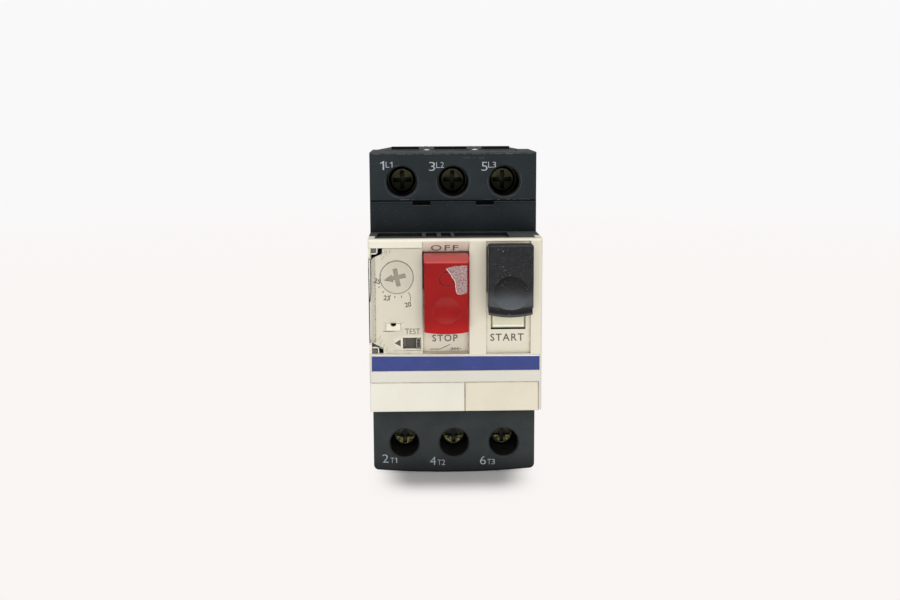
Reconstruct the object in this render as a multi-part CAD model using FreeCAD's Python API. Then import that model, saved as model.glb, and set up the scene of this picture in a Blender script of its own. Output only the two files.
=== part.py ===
import FreeCAD, Part
import math
import os

from FreeCAD import Vector

# Three-pole motor protection circuit breaker for a 35 mm top-hat rail, in millimetres.
# Origin: centre of the rail seat. +X to the right of someone facing it, +Y towards the rail, +Z up.

# Case envelope
CASE_WIDTH = 44.5
CASE_HEIGHT = 89.0
LEG_DEPTH = 7.5
BASE_DEPTH = 20.0
BLOCK_DEPTH = 25.2
NOSE_DEPTH = 17.3
NOSE_HEIGHT = 45.0
UPPER_BLOCK_HEIGHT = 12.8
LOWER_BLOCK_HEIGHT = 20.5
BAND_STEP = 0.4
WALL = 1.6
CORNER_R = 1.4
EDGE_R = 0.6
BASE_CROWN = 1.0
BLOCK_BEVEL = 1.4
BLOCK_BEVEL_IN = 0.2
SEAM_GROOVE = 0.3

# Raised hoods behind the wire entries
HOOD_RISE = 0.8
HOOD_LENGTH = 6.0
HOOD_CREST = 1.5
HOOD_END = 3.2
SHOULDER_DROP = 1.0

# Fits between pieces
TOUCH = 0.1
SLIDE = 0.3
SWING = 0.05

# Poles and terminals
POLE_ORDER = (-1, 0, 1)
END_WALLS = 3.4
CELL_WALL = 4.5
TERMINAL_INSET = 8.5
ACCESS_D = 8.0
ACCESS_LEAD = 0.4
HEAD_FORWARD = 16.0
HEAD_D = 7.2
HEAD_H = 2.6
CROSS_WIDTH = 1.1
CROSS_LENGTH = 5.0
CROSS_DEPTH = 1.3
SCREW_D = 4.0
SCREW_RUN_OUT = 2.4
SCREW_POCKET_GAP = 0.6
SADDLE_T = 2.0
SADDLE_INWARD = 3.2
SADDLE_OUTWARD = 4.2
SADDLE_GROOVE_D = 5.0
SADDLE_GROOVE_DEPTH = 0.5
WIRE_GAP = 5.0
CLAMP_TRAVEL = 4.0
CELL_FLOOR = 1.5
MOUTH_ROOF = 1.5
MOUTH_FLARE = 0.6
BAR_T = 1.3

# Latch notches in the band above the cover
NOTCH_WIDTH = 4.9
NOTCH_HEIGHT = 1.2
NOTCH_DEPTH = 1.2
NOTCH_SHARE = 0.19

# Shallow pockets in the top of the nose: X ends as shares of the case width
VENT_SHARES = ((-0.454, -0.19), (-0.167, -0.103), (-0.077, -0.02), (0.0, 0.317))
VENT_SET_BACK = 2.0
VENT_LENGTH = 11.3
VENT_DEPTH = 0.9

# Rivets
RIVET_INSET = 2.7
RIVET_D = 2.4
RIVET_BORE = 1.5
RIVET_HEAD_D = 4.0
RIVET_HEAD_T = 0.6
RIVET_FLANGE = 2.0
RIVET_NOTCH_W = 4.4
RIVET_NOTCH_L = 4.0

# Rail seat and clip
RAIL_HEIGHT = 35.0
RAIL_FLANGE = 1.0
RAIL_PLAY = 0.2
HOOK_REACH = 2.6
HOOK_T = 3.0
HOOK_SLOPE = 1.0
CLIP_WIDTH = 16.0
CLIP_T = 4.1
CLIP_LIP = 1.9
CLIP_NOSE_T = 1.4
CLIP_TAIL_GAP = 0.4
CLIP_WINDOW_LOW = 9.0
CLIP_WINDOW_W = 6.0
CLIP_WINDOW_L = 12.0
CLIP_BOSS_H = 2.0
CLIP_SLOT_LOW = 1.6
CLIP_SLOT_W = 5.0
CLIP_SLOT_H = 2.4
CLIP_SPRING_D = 3.6
CLIP_SPRING_TURNS = 5

# Pole chambers and current path
CHAMBER_WALL = 3.3
BACK_WALL = 3.0
CONTACT_Z = 7.0
CONTACT_SPAN = 16.0
TIP_D = 4.2
TIP_T = 1.2
BRIDGE_TIP_T = 1.0
BRIDGE_T = 1.2
BRIDGE_WIDTH = 5.0
BRIDGE_END = 2.4
BAR_INSET = 1.1
PLATE_OVERHANG = 5.5
COIL_PLAY = 0.5
COIL_BORE = 4.6
COIL_TURNS = 6
COIL_GROOVE = 0.5
COIL_CHEEK = 1.2
COIL_HEIGHT = 17.3
COIL_SET_FORWARD = 8.0
COIL_TOP_Z = -8.7
COIL_BAR_WIDTH = 6.0
COIL_BAR_FRONT = 3.5
LEAD_WIDTH = 3.0
LEAD_T = 1.2
LEAD_RISE = 5.4
PLUNGER_D = 4.0
PLUNGER_LENGTH = 12.8
PLUNGER_PIN_D = 2.2
PLUNGER_TRAVEL = 2.2
ARC_PLATES = 4
ARC_PITCH = 2.5
ARC_T = 1.0
ARC_DEPTH = 10.0
ARC_START = 4.0
ARC_NOTCH = 3.0

# Contact carrier
CARRIER_TRAVEL = 3.0
CARRIER_HEIGHT = 7.0
CARRIER_BAR_T = 4.6
POST_WALL = 0.8
POST_WEB = 1.5
POST_WINDOW = 6.0
GUIDE_DEPTH = 3.5
CONTACT_SPRING_D = 3.8
CONTACT_SPRING_TURNS = 3

# Bimetals and heaters
BIMETAL_T = 0.8
BIMETAL_WIDTH = 4.0
BIMETAL_OVER = 0.1
BIMETAL_SET_FORWARD = 4.6
FOOT_DROP = 2.0
FOOT_WIDTH = 4.0
FOOT_LAP = 0.4
HEATER_GAP = 0.2
HEATER_WALL = 0.5
HEATER_RIDGE = 0.45
HEATER_RIDGE_H = 1.2
HEATER_TURNS = 6
HEATER_END_GAP = 2.1
HEATER_START = 4.0

# Columns of the front, as shares of the case width from right to left
START_MARGIN_SHARE = 0.0663
START_SHARE = 0.2573
BUTTON_SPACE_SHARE = 0.0966
STOP_SHARE = 0.2697
PLATE_SHARE = 0.5517

# Dial and sealing eyelet, as shares of the setting zone from its left edge
DIAL_SHARE = 0.525
EYELET_SHARE = 0.453

# Front cover
COVER_T = 2.5
SKIRT_DEPTH = 5.5
RIM = 0.6
FRONT_R = 0.8
LABEL_LOW = 10.9
LABEL_HEIGHT = 3.9
LABEL_MARGIN = 0.65
LABEL_T = 0.25
LABEL_SINK = 0.05
RECESS_ABOVE_LABEL = 0.4
PLATE_HEIGHT = 7.75
PLATE_T = 1.55
PLATE_MARGIN = 0.8
PLATE_R = 0.4

# START button
START_RECESS = 1.2
START_TRAVEL = 5.0
START_REACH = 8.5
START_OVERHANG = 5.3
START_CAP_LOW = 3.5
START_BOW = 0.7
START_RIM_H = 1.3
START_RIM_BACK = 1.1
START_RIM_INSET = 0.15
START_SIDE_GAP = 0.1
START_STEM_INSET = 0.15
START_R = 0.8
START_LIP_R = 1.5
START_SIDE_R = 0.5
START_DIMPLE_D = 8.8
START_DIMPLE_DEPTH = 1.9
START_DIMPLE_RISE = 6.2
WINDOW_LOW = -1.1
WINDOW_WIDTH = 9.0
TAB_GAP = 0.45
TAB_LOW_GAP = 0.4
TAB_BEVEL = 0.3

# STOP button
STOP_RECESS = 4.0
STOP_FLOOR_T = 1.2
STOP_POCKET_WALL = 1.0
STOP_TRAVEL = 3.0
STOP_REACH = 6.0
STOP_OVERHANG = 10.0
STOP_CAP_LOW = -0.9
STOP_CAP_TOP = 18.9
STOP_SIDE_GAP = 0.35
STOP_BEVEL = 1.6
STOP_R = 0.7
STOP_BOW = 0.5
STOP_DIMPLE_D = 6.8
STOP_DIMPLE_DEPTH = 0.8
STOP_DIMPLE_RISE = 6.0
STOP_RING_D = 3.8
STOP_RING_W = 0.35
STOP_RING_DEPTH = 0.25
STOP_RING_RISE = 14.0

# Retaining flanges, rods and springs of the two buttons
FLANGE_LAP = 0.85
FLANGE_T = 2.0
ROD_D = 4.0
ROD_Z = 10.0
SPRING_D = 6.4
SPRING_WIRE = 0.7
SPRING_TURNS = 4
SPRING_SIDES = 10

# Levers
LEVER_PIVOT_Z = -2.0
LEVER_T = 3.0
LEVER_GAP = 1.6
LEVER_BOSS_D = 5.0
LEVER_TOP_OVER = 1.8
LEVER_WIDTH = 6.8
PIN_D = 2.5
EAR_T = 2.0
HOOK_ARM_L = 5.5
HOOK_ARM_T = 1.6
HOOK_ARM_W = 2.5
NOSE_ARM = 6.6
NOSE_WIDTH = 5.0
NOSE_H = 3.0

# Setting zone with dial, test slide and clear cover
ZONE_DEPTH = 1.6
ZONE_TOP_GAP = 2.2
DIAL_Z = 12.65
DIAL_D = 8.3
DIAL_PROUD = 0.3
DIAL_GAP = 0.18
DIAL_FLANGE_LAP = 0.4
DIAL_FLANGE_T = 1.0
DIAL_HUB_D = 4.4
DIAL_HUB_L = 7.0
DIAL_SLOT_W = 1.1
DIAL_SLOT_L = 4.6
DIAL_SLOT_DEPTH = 0.7
DIAL_ARROW_L = 3.3
DIAL_ARROW_W = 2.0
DIAL_ARROW_TURN = 12.0
DIAL_CAM_L = 4.5
DIAL_CAM_T = 1.5
TEST_WINDOW_W = 4.7
TEST_WINDOW_H = 3.0
TEST_Z = -4.6
TEST_WALL = 0.45
TEST_TRAVEL = 2.0
TEST_PLATE_T = 1.5
TEST_NUB_W = 1.3
TEST_NUB_PROUD = 0.2
TEST_GRIPS = 3
TEST_GRIP_W = 0.3
TEST_GRIP_PITCH = 0.7
TEST_LAP = 0.5
TEST_TAIL_W = 2.4
TEST_TAIL_H = 2.6
TRIP_BAR_SHARE = 0.4
TRIP_BAR_H = 3.0
TRIP_GAP_SHARE = 1 / 3
TRIP_LUG_W = 1.9
TRIP_LUG_L = 2.4
TRIP_FINGER_W = 1.4
TRIP_FINGER_GAP = 0.8
TRIP_LEDGE_T = 1.5
TRIP_LEDGE_W = 3.0
EYELET_Z = -0.15
EYELET_W = 3.6
EYELET_H = 1.8
EYELET_HOLE_D = 1.5
CLEAR_T = 1.0
CLEAR_LEG = 4.2
CLEAR_SINK = 0.1
CLEAR_GAP = 0.2
CLEAR_SLOT_GAP = 0.8
CLEAR_CORNER = 3.0
CLEAR_CORNER_W = 3.6
CLEAR_CORNER_RISE = 1.5
CLEAR_BARREL_D = 1.5
CLEAR_PIN_D = 1.0
CLEAR_PIN_L = 1.5
CLEAR_PIN_INSET = 0.85
HINGE_WALL = 0.7
CORNER_CUT_DEPTH = 1.0

# Side pockets for snap-on accessories
POCKET_W = 5.0
POCKET_H = 9.0
POCKET_DEPTH = 0.7
POCKET_Z = 26.0

# Case planes
HALF_W = CASE_WIDTH / 2
POLE_PITCH = (CASE_WIDTH - END_WALLS) / len(POLE_ORDER)
CELL_WIDTH = POLE_PITCH - CELL_WALL
CHAMBER_WIDTH = POLE_PITCH - CHAMBER_WALL
HOOD_EDGE = POLE_PITCH + HOOD_END
Z_TOP = CASE_HEIGHT / 2
Z_BOTTOM = -Z_TOP
Z_LIP = Z_TOP - HOOD_RISE
Z_SEAM_UP = Z_LIP - UPPER_BLOCK_HEIGHT
Z_SEAM_LOW = Z_BOTTOM + LOWER_BLOCK_HEIGHT
Z_SCREW = Z_TOP - TERMINAL_INSET
NOSE_TOP = NOSE_HEIGHT / 2
NOSE_LOW = -NOSE_TOP
INNER_TOP = NOSE_TOP - WALL
Y_BACK = LEG_DEPTH
Y_JOINT = -BASE_DEPTH
Y_FACE = Y_JOINT - BLOCK_DEPTH
Y_FRONT = Y_FACE - NOSE_DEPTH
Y_PLATE = Y_FRONT + COVER_T
Y_SKIRT = Y_PLATE + SKIRT_DEPTH
Y_BAND = Y_FACE + BAND_STEP
Y_WALL_BACK = Y_FACE + WALL
INNER_W = HALF_W - WALL
TONGUE_W = INNER_W - TOUCH

# Rail seat planes
RAIL_HALF = RAIL_HEIGHT / 2
SEAT_TOP = RAIL_HALF + RAIL_PLAY
SEAT_LOW = -RAIL_HALF - 2 * RAIL_PLAY
Y_HOOK = RAIL_FLANGE + 2 * RAIL_PLAY
Y_CLIP = Y_HOOK + TOUCH
Y_CLIP_BACK = Y_CLIP + CLIP_T
Y_CLIP_FLOOR = Y_CLIP - SLIDE
CLIP_LOW = Z_BOTTOM + CLIP_TAIL_GAP
CLIP_WINDOW = (Z_BOTTOM + CLIP_WINDOW_LOW, Z_BOTTOM + CLIP_WINDOW_LOW + CLIP_WINDOW_L)
CLIP_BOSS = (CLIP_WINDOW[0] + SLIDE, CLIP_WINDOW[0] + SLIDE + CLIP_BOSS_H)

# Terminal clamp along Y
Y_HEAD = Y_JOINT - HEAD_FORWARD
Y_SADDLE = Y_HEAD + HEAD_H
Y_GAP = Y_SADDLE + SADDLE_T
Y_BAR = Y_GAP + WIRE_GAP
Y_BAR_BACK = Y_BAR + BAR_T
Y_TIP = Y_BAR_BACK + SCREW_RUN_OUT
Y_CELL = Y_SADDLE - SLIDE
Z_CELL = Z_SEAM_UP + CELL_FLOOR
Z_PLATE_END = Z_SCREW + PLATE_OVERHANG
Z_PAD = Z_SCREW + SCREW_D / 2 + SCREW_POCKET_GAP

# Contacts and trip units
Y_FLOOR = -BACK_WALL
Y_FIXED = Y_FLOOR - BAR_T
Y_FIXED_TIP = Y_FIXED - TIP_T
Y_BRIDGE_TIP = Y_FIXED_TIP - CARRIER_TRAVEL - TOUCH
Y_BRIDGE_BACK = Y_BRIDGE_TIP - BRIDGE_TIP_T
Y_BRIDGE = Y_BRIDGE_BACK - BRIDGE_T
Y_POST_WINDOW = Y_BRIDGE_BACK - POST_WINDOW
Y_POST_END = Y_BRIDGE_BACK + POST_WEB
Y_CARRIER = Y_JOINT - CARRIER_TRAVEL - SLIDE
Y_CARRIER_FRONT = Y_CARRIER - CARRIER_BAR_T
POST_WIDTH = BRIDGE_WIDTH + 2 * TOUCH + 2 * POST_WALL
Z_TIP_UP = CONTACT_Z + CONTACT_SPAN / 2
Z_TIP_LOW = CONTACT_Z - CONTACT_SPAN / 2
Z_BRIDGE_LOW = Z_TIP_LOW - BRIDGE_END
CHAMBER_TOP = Z_CELL + BAR_T + TOUCH
COIL_Y = Y_FLOOR - COIL_SET_FORWARD
COIL_LOW_Z = COIL_TOP_Z - COIL_HEIGHT
COIL_D = CHAMBER_WIDTH - 2 * COIL_PLAY
PLUNGER_LOW_Z = COIL_LOW_Z + COIL_CHEEK + TOUCH
PLUNGER_PIN_Z = Z_BRIDGE_LOW - SLIDE - PLUNGER_TRAVEL
Y_BIMETAL = Y_BAR - BIMETAL_SET_FORWARD
Z_BIMETAL = Z_SEAM_LOW - FOOT_DROP
Z_BIMETAL_TOP = TEST_Z + TRIP_BAR_H / 2 + BIMETAL_OVER
TRIP_LOW_Z = TEST_Z - TRIP_BAR_H / 2
HEATER_PITCH = (TRIP_LOW_Z - HEATER_END_GAP - Z_BIMETAL - HEATER_START) / HEATER_TURNS
HEATER_HALF_Y = BIMETAL_WIDTH / 2 + HEATER_GAP + HEATER_WALL

# Buttons and their recesses
START_RIGHT = HALF_W - START_MARGIN_SHARE * CASE_WIDTH
START_LEFT = START_RIGHT - START_SHARE * CASE_WIDTH
START_X = (START_LEFT + START_RIGHT) / 2
STOP_RIGHT = START_LEFT - BUTTON_SPACE_SHARE * CASE_WIDTH
STOP_LEFT = STOP_RIGHT - STOP_SHARE * CASE_WIDTH
STOP_X = (STOP_LEFT + STOP_RIGHT) / 2
PLATE_SPLIT = -HALF_W + PLATE_SHARE * CASE_WIDTH
RECESS_TOP = NOSE_TOP - RIM
LABEL_LOW_Z = NOSE_LOW + LABEL_LOW
LABEL_TOP_Z = LABEL_LOW_Z + LABEL_HEIGHT
RECESS_LOW = LABEL_TOP_Z + RECESS_ABOVE_LABEL
Y_START_FLOOR = Y_FRONT + START_RECESS
Y_STOP_FLOOR = Y_FRONT + STOP_RECESS
Y_STOP_BACK = Y_STOP_FLOOR + STOP_FLOOR_T
Y_START_FLANGE = Y_PLATE + TOUCH
Y_START_ROD = Y_START_FLANGE + FLANGE_T
Y_STOP_FLANGE = Y_STOP_BACK + TOUCH
Y_STOP_ROD = Y_STOP_FLANGE + FLANGE_T
START_STEM_LOW = START_CAP_LOW + START_OVERHANG
START_STEM_TOP = INNER_TOP - 2 * SLIDE
STOP_STEM_LOW = STOP_CAP_LOW + STOP_OVERHANG
FLANGE_TOP = INNER_TOP - SLIDE

# Levers, trip slider and setting zone
Y_LEVER = Y_WALL_BACK + LEVER_GAP
Y_LEVER_BACK = Y_LEVER + LEVER_T
Y_PIVOT = Y_LEVER + LEVER_T / 2
Y_ROD_TIP = Y_LEVER - SLIDE
TRIP_ROOM = Y_BIMETAL - BIMETAL_WIDTH / 2 - Y_LEVER_BACK
Y_TRIP = Y_LEVER_BACK + TRIP_GAP_SHARE * TRIP_ROOM
Y_TRIP_BACK = Y_TRIP + TRIP_BAR_SHARE * TRIP_ROOM
Y_ZONE = Y_FRONT + ZONE_DEPTH
ZONE_TOP = NOSE_TOP - ZONE_TOP_GAP
ZONE_WIDTH = STOP_LEFT + HALF_W
DIAL_X = -HALF_W + DIAL_SHARE * ZONE_WIDTH
TEST_RIGHT = STOP_LEFT - TEST_WALL
TEST_LEFT = TEST_RIGHT - TEST_WINDOW_W
TEST_X = (TEST_LEFT + TEST_RIGHT) / 2
TEST_END = STOP_LEFT - STOP_POCKET_WALL - SLIDE
TAIL_LEFT = TEST_X - TEST_TAIL_W / 2
EYELET_X = -HALF_W + EYELET_SHARE * ZONE_WIDTH
CLEAR_LEFT = -HALF_W + SWING
CLEAR_RIGHT = STOP_LEFT - CLEAR_GAP
Y_CLEAR = Y_FRONT + CLEAR_SINK
HINGE_X = -HALF_W + CLEAR_PIN_INSET
HINGE_Y = Y_FRONT + CLEAR_LEG
LEG_LOW = RECESS_LOW + CLEAR_CORNER
LEG_TOP = ZONE_TOP - CLEAR_CORNER

# Lengths that only carry a cutting tool past a face
PAST = 1.0


def pole_x(pole):
    return pole * POLE_PITCH


def around(centre, width):
    return (centre - width / 2, centre + width / 2)


def block(x, y, z):
    corner = Vector(x[0], y[0], z[0])
    return Part.makeBox(x[1] - x[0], y[1] - y[0], z[1] - z[0], corner)


def rod_x(x, y, z, d):
    return Part.makeCylinder(d / 2, x[1] - x[0], Vector(x[0], y, z), Vector(1, 0, 0))


def rod_y(x, y, z, d):
    return Part.makeCylinder(d / 2, y[1] - y[0], Vector(x, y[0], z), Vector(0, 1, 0))


def rod_z(x, y, z, d):
    return Part.makeCylinder(d / 2, z[1] - z[0], Vector(x, y, z[0]), Vector(0, 0, 1))


def prism(points, travel):
    return Part.Face(Part.makePolygon(points + points[:1])).extrude(travel)


def prism_x(points, x):
    """Extrude an outline given as (y, z) points along X."""
    return prism([Vector(x[0], y, z) for y, z in points], Vector(x[1] - x[0], 0, 0))


def prism_y(points, y):
    """Extrude an outline given as (x, z) points along Y."""
    return prism([Vector(px, y[0], pz) for px, pz in points], Vector(0, y[1] - y[0], 0))


def prism_z(points, z):
    """Extrude an outline given as (x, y) points along Z."""
    return prism([Vector(px, py, z[0]) for px, py in points], Vector(0, 0, z[1] - z[0]))


def joined(first, *others):
    return first.fuse(list(others)).removeSplitter()


def carved(shape, *tools):
    return shape.cut(list(tools))


def flip(shape):
    """Mirror an upper terminal piece into the lower end of the case."""
    return shape.mirror(Vector(0, 0, 0), Vector(0, 0, 1))


def near(a, b):
    return abs(a - b) < 0.01


def rounded(shape, radius, test):
    """Fillet the edges for which the point midway between their ends passes the test."""
    edges = []
    for edge in shape.Edges:
        ends = [vertex.Point for vertex in edge.Vertexes]
        if test((ends[0] + ends[-1]) * 0.5):
            edges.append(edge)
    return shape.makeFillet(radius, edges)


def dimple(x, y, z, d, depth):
    """Ball that leaves a round hollow of the given diameter and depth in a face towards -Y."""
    radius = (d * d / 4 + depth * depth) / (2 * depth)
    return Part.makeSphere(radius, Vector(x, y + depth - radius, z))


def spring(origin, axis, length, outer_d, turns):
    """Compression spring of square wire, drawn with flat facets."""
    radius = (outer_d - SPRING_WIRE) / 2
    half = SPRING_WIRE / 2
    steps = turns * SPRING_SIDES
    side = axis.cross(Vector(axis.y, axis.z, axis.x))
    other = axis.cross(side)
    rings = []
    for step in range(steps + 1):
        angle = 2 * math.pi * step / SPRING_SIDES
        radial = side * math.cos(angle) + other * math.sin(angle)
        middle = origin + axis * (half + (length - SPRING_WIRE) * step / steps)
        inner, outer = radial * (radius - half), radial * (radius + half)
        low, high = middle - axis * half, middle + axis * half
        rings.append([low + inner, low + outer, high + outer, high + inner])
    faces = [Part.Face(Part.makePolygon(end + end[:1])) for end in (rings[0], rings[-1])]
    for first, second in zip(rings, rings[1:]):
        for i in range(4):
            a, b = first[i], first[(i + 1) % 4]
            c, d = second[i], second[(i + 1) % 4]
            faces.append(Part.Face(Part.makePolygon([a, b, d, a])))
            faces.append(Part.Face(Part.makePolygon([a, d, c, a])))
    solid = Part.Solid(Part.Shell(faces))
    if solid.Volume < 0:
        solid.reverse()
    return solid


# Case


def terminal_cell(x, inner_z, face_z):
    """Hollow of one upper terminal: access hole, clamp space and flared wire mouth."""
    width = around(x, CELL_WIDTH)
    mouth = (Y_SADDLE, Y_BAR_BACK)
    access = rod_y(x, (Y_FACE - PAST, Y_CELL + PAST), Z_SCREW, ACCESS_D)
    lead = ACCESS_LEAD + PAST
    cone = Part.makeCone(
        ACCESS_D / 2 + lead, ACCESS_D / 2, lead, Vector(x, Y_FACE - PAST, Z_SCREW), Vector(0, 1, 0)
    )
    space = block(width, (Y_CELL, Y_JOINT + PAST), (inner_z, face_z - MOUTH_ROOF))
    neck = block(width, mouth, (inner_z, face_z + PAST))
    flare = [
        (mouth[0], face_z - MOUTH_FLARE),
        (mouth[1], face_z - MOUTH_FLARE),
        (mouth[1] + MOUTH_FLARE, face_z),
        (mouth[0] - MOUTH_FLARE, face_z),
    ]
    return joined(access, cone, space, neck, prism_x(flare, width))


def rivet_places():
    """X and Z of the four rivets, which stand between the poles at both ends."""
    height = Z_TOP - RIVET_INSET
    return [(sx * POLE_PITCH / 2, sz * height) for sz in (1, -1) for sx in (-1, 1)]


def rivet_end(z):
    """The upper rivets end at the back of the case, the lower ones in front of the rail clip."""
    return Y_BACK if z > 0 else Y_CLIP_FLOOR


def rivet_notch(x, z):
    """Open notch in front of a rivet head, behind which the block keeps a flange."""
    flange = Y_JOINT - RIVET_FLANGE
    height = Z_TOP - RIVET_INSET - RIVET_HEAD_D / 2 - SLIDE
    notch = block(
        around(x, RIVET_NOTCH_W), (flange - RIVET_NOTCH_L, flange), (height, Z_TOP + PAST)
    )
    return notch if z > 0 else flip(notch)


def rivet_hole(x, z):
    end = rivet_end(z)
    hole = rod_y(x, (Y_JOINT - RIVET_FLANGE - PAST, end + PAST), z, RIVET_D + TOUCH)
    head = rod_y(x, (end - RIVET_HEAD_T, end + PAST), z, RIVET_HEAD_D + 2 * SLIDE)
    return joined(hole, head)


def upper_body():
    """Upper block, whose face slopes back towards the band along its lower edge."""
    body = block((-HALF_W, HALF_W), (Y_FACE, Y_JOINT), (Z_SEAM_UP, Z_LIP))
    body = rounded(body, EDGE_R, lambda p: near(p.y, Y_FACE) and not near(p.z, Z_SEAM_UP))
    inner = Y_FACE + BLOCK_BEVEL_IN
    slope = [(Y_FACE, Z_SEAM_UP + BLOCK_BEVEL), (inner, Z_SEAM_UP), (Y_FACE, Z_SEAM_UP)]
    return carved(body, prism_x(slope, (-HALF_W - PAST, HALF_W + PAST)))


def lower_body():
    """Lower block with a gently crowned under side."""
    corner = Z_BOTTOM + BASE_CROWN
    points = [Vector(x, Y_FACE, corner) for x in (-HALF_W, HALF_W)]
    points += [Vector(x, Y_FACE, Z_SEAM_LOW) for x in (HALF_W, -HALF_W)]
    crown = Part.Arc(points[0], Vector(0, Y_FACE, Z_BOTTOM), points[1]).toShape()
    sides = [Part.makeLine(a, b) for a, b in zip(points[1:], points[2:] + points[:1])]
    body = Part.Face(Part.Wire([crown] + sides)).extrude(Vector(0, BLOCK_DEPTH, 0))
    body = rounded(body, CORNER_R, lambda p: near(p.z, corner) and near(abs(p.x), HALF_W))
    return rounded(body, EDGE_R, lambda p: near(p.y, Y_FACE) and not near(p.z, Z_SEAM_LOW))


def rivet_cuts(side):
    """Notches and holes of the two rivets at the upper (1) or lower (-1) end."""
    cuts = []
    for x, z in rivet_places():
        if z * side > 0:
            cuts += [rivet_notch(x, z), rivet_hole(x, z)]
    return cuts


def upper_terminal_block():
    cells = [terminal_cell(pole_x(pole), Z_CELL, Z_LIP) for pole in POLE_ORDER]
    return carved(upper_body(), *cells, *rivet_cuts(1))


def lower_terminal_block():
    inner = -Z_SEAM_LOW - PAST
    cells = [flip(terminal_cell(pole_x(pole), inner, Z_TOP)) for pole in POLE_ORDER]
    return carved(lower_body(), *cells, *rivet_cuts(-1))


def rail_seat():
    """Channel for the rail, less the fixed hook that grips its upper flange."""
    channel = block((-HALF_W - PAST, HALF_W + PAST), (0, Y_BACK + PAST), (SEAT_LOW, SEAT_TOP))
    hook = [
        (Y_HOOK, SEAT_TOP + PAST),
        (Y_HOOK, SEAT_TOP - HOOK_REACH),
        (Y_HOOK + HOOK_T - HOOK_SLOPE, SEAT_TOP - HOOK_REACH),
        (Y_HOOK + HOOK_T, SEAT_TOP),
        (Y_HOOK + HOOK_T, SEAT_TOP + PAST),
    ]
    return carved(channel, prism_x(hook, (-HALF_W - PAST, HALF_W + PAST)))


def clip_slot():
    """T-shaped guide for the rail clip in the lower leg."""
    height = (Z_BOTTOM - PAST, SEAT_LOW + PAST)
    wide = block(
        around(0, CLIP_WIDTH + 2 * SLIDE), (Y_CLIP_FLOOR, Y_CLIP_BACK + SLIDE), height
    )
    narrow = block(
        around(0, CLIP_WIDTH - 2 * CLIP_LIP), (Y_CLIP_FLOOR, Y_BACK + PAST), height
    )
    return joined(wide, narrow)


def clip_boss():
    width = around(0, CLIP_WINDOW_W - 2 * SLIDE)
    return block(width, (Y_CLIP_FLOOR, Y_CLIP_BACK - SLIDE), CLIP_BOSS)


def hood_spans():
    """X spans of the three raised hoods, with the rivet gaps between them."""
    inner = POLE_PITCH / 2 - RIVET_NOTCH_W / 2
    outer = POLE_PITCH / 2 + RIVET_NOTCH_W / 2
    return [(-HOOD_EDGE, -outer), (-inner, inner), (outer, HOOD_EDGE)]


def hood(x):
    outline = [
        (Y_JOINT, Z_LIP - PAST),
        (Y_JOINT, Z_TOP),
        (Y_JOINT + HOOD_CREST, Z_TOP),
        (Y_JOINT + HOOD_LENGTH, Z_LIP),
        (Y_JOINT + HOOD_LENGTH, Z_LIP - PAST),
    ]
    return prism_x(outline, x)


def bar_pad(x):
    """Pad that holds a terminal plate against the screw."""
    width = around(x, CELL_WIDTH - 2 * SLIDE)
    return block(width, (Y_BAR_BACK, Y_JOINT + PAST), (Z_PAD, Z_PLATE_END))


def screw_pocket(x):
    end = Y_TIP + CLAMP_TRAVEL + SCREW_POCKET_GAP
    return rod_y(x, (Y_JOINT - PAST, end), Z_SCREW, SCREW_D + 2 * SCREW_POCKET_GAP)


def side_pocket(side, z):
    x = (HALF_W - POCKET_DEPTH, HALF_W + PAST)
    if side < 0:
        x = (-x[1], -x[0])
    return block(x, around(Y_JOINT / 2, POCKET_W), around(z, POCKET_H))


def rear_base():
    outline = [
        (-HALF_W, Z_BOTTOM),
        (HALF_W, Z_BOTTOM),
        (HALF_W, Z_LIP - SHOULDER_DROP),
        (HOOD_EDGE, Z_LIP),
        (-HOOD_EDGE, Z_LIP),
        (-HALF_W, Z_LIP - SHOULDER_DROP),
    ]
    body = prism_y(outline, (Y_JOINT, Y_BACK))
    body = rounded(body, CORNER_R, lambda p: near(p.z, Z_BOTTOM) and near(abs(p.x), HALF_W))
    pads = []
    tools = [rail_seat(), clip_slot()]
    for pole in POLE_ORDER:
        x = pole_x(pole)
        chamber = block(
            around(x, CHAMBER_WIDTH), (Y_JOINT - PAST, Y_FLOOR), (COIL_LOW_Z, CHAMBER_TOP)
        )
        tools += [chamber, screw_pocket(x), flip(screw_pocket(x))]
        pads += [bar_pad(x), flip(bar_pad(x))]
    tools += [rivet_hole(x, z) for x, z in rivet_places()]
    tools += [side_pocket(side, sz * POCKET_Z) for side in (-1, 1) for sz in (-1, 1)]
    body = joined(body, *[hood(x) for x in hood_spans()])
    return joined(carved(body, *tools), *pads, clip_boss())


def lever_x(x):
    return around(x, LEVER_WIDTH)


def ear_spans():
    """X spans of the ears that carry the lever pin, one on each side of each lever."""
    spans = []
    for x in (STOP_X, START_X):
        low, high = lever_x(x)
        spans += [(low - SLIDE - EAR_T, low - SLIDE), (high + SLIDE, high + SLIDE + EAR_T)]
    return spans


def vent_pockets():
    """Shallow pockets in the top of the nose, with narrow ribs between them."""
    front = Y_PLATE + VENT_SET_BACK
    pockets = []
    for left, right in VENT_SHARES:
        pockets.append(
            block(
                (left * CASE_WIDTH, right * CASE_WIDTH),
                (front, front + VENT_LENGTH),
                (NOSE_TOP - VENT_DEPTH, NOSE_TOP + PAST),
            )
        )
    return pockets


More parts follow.
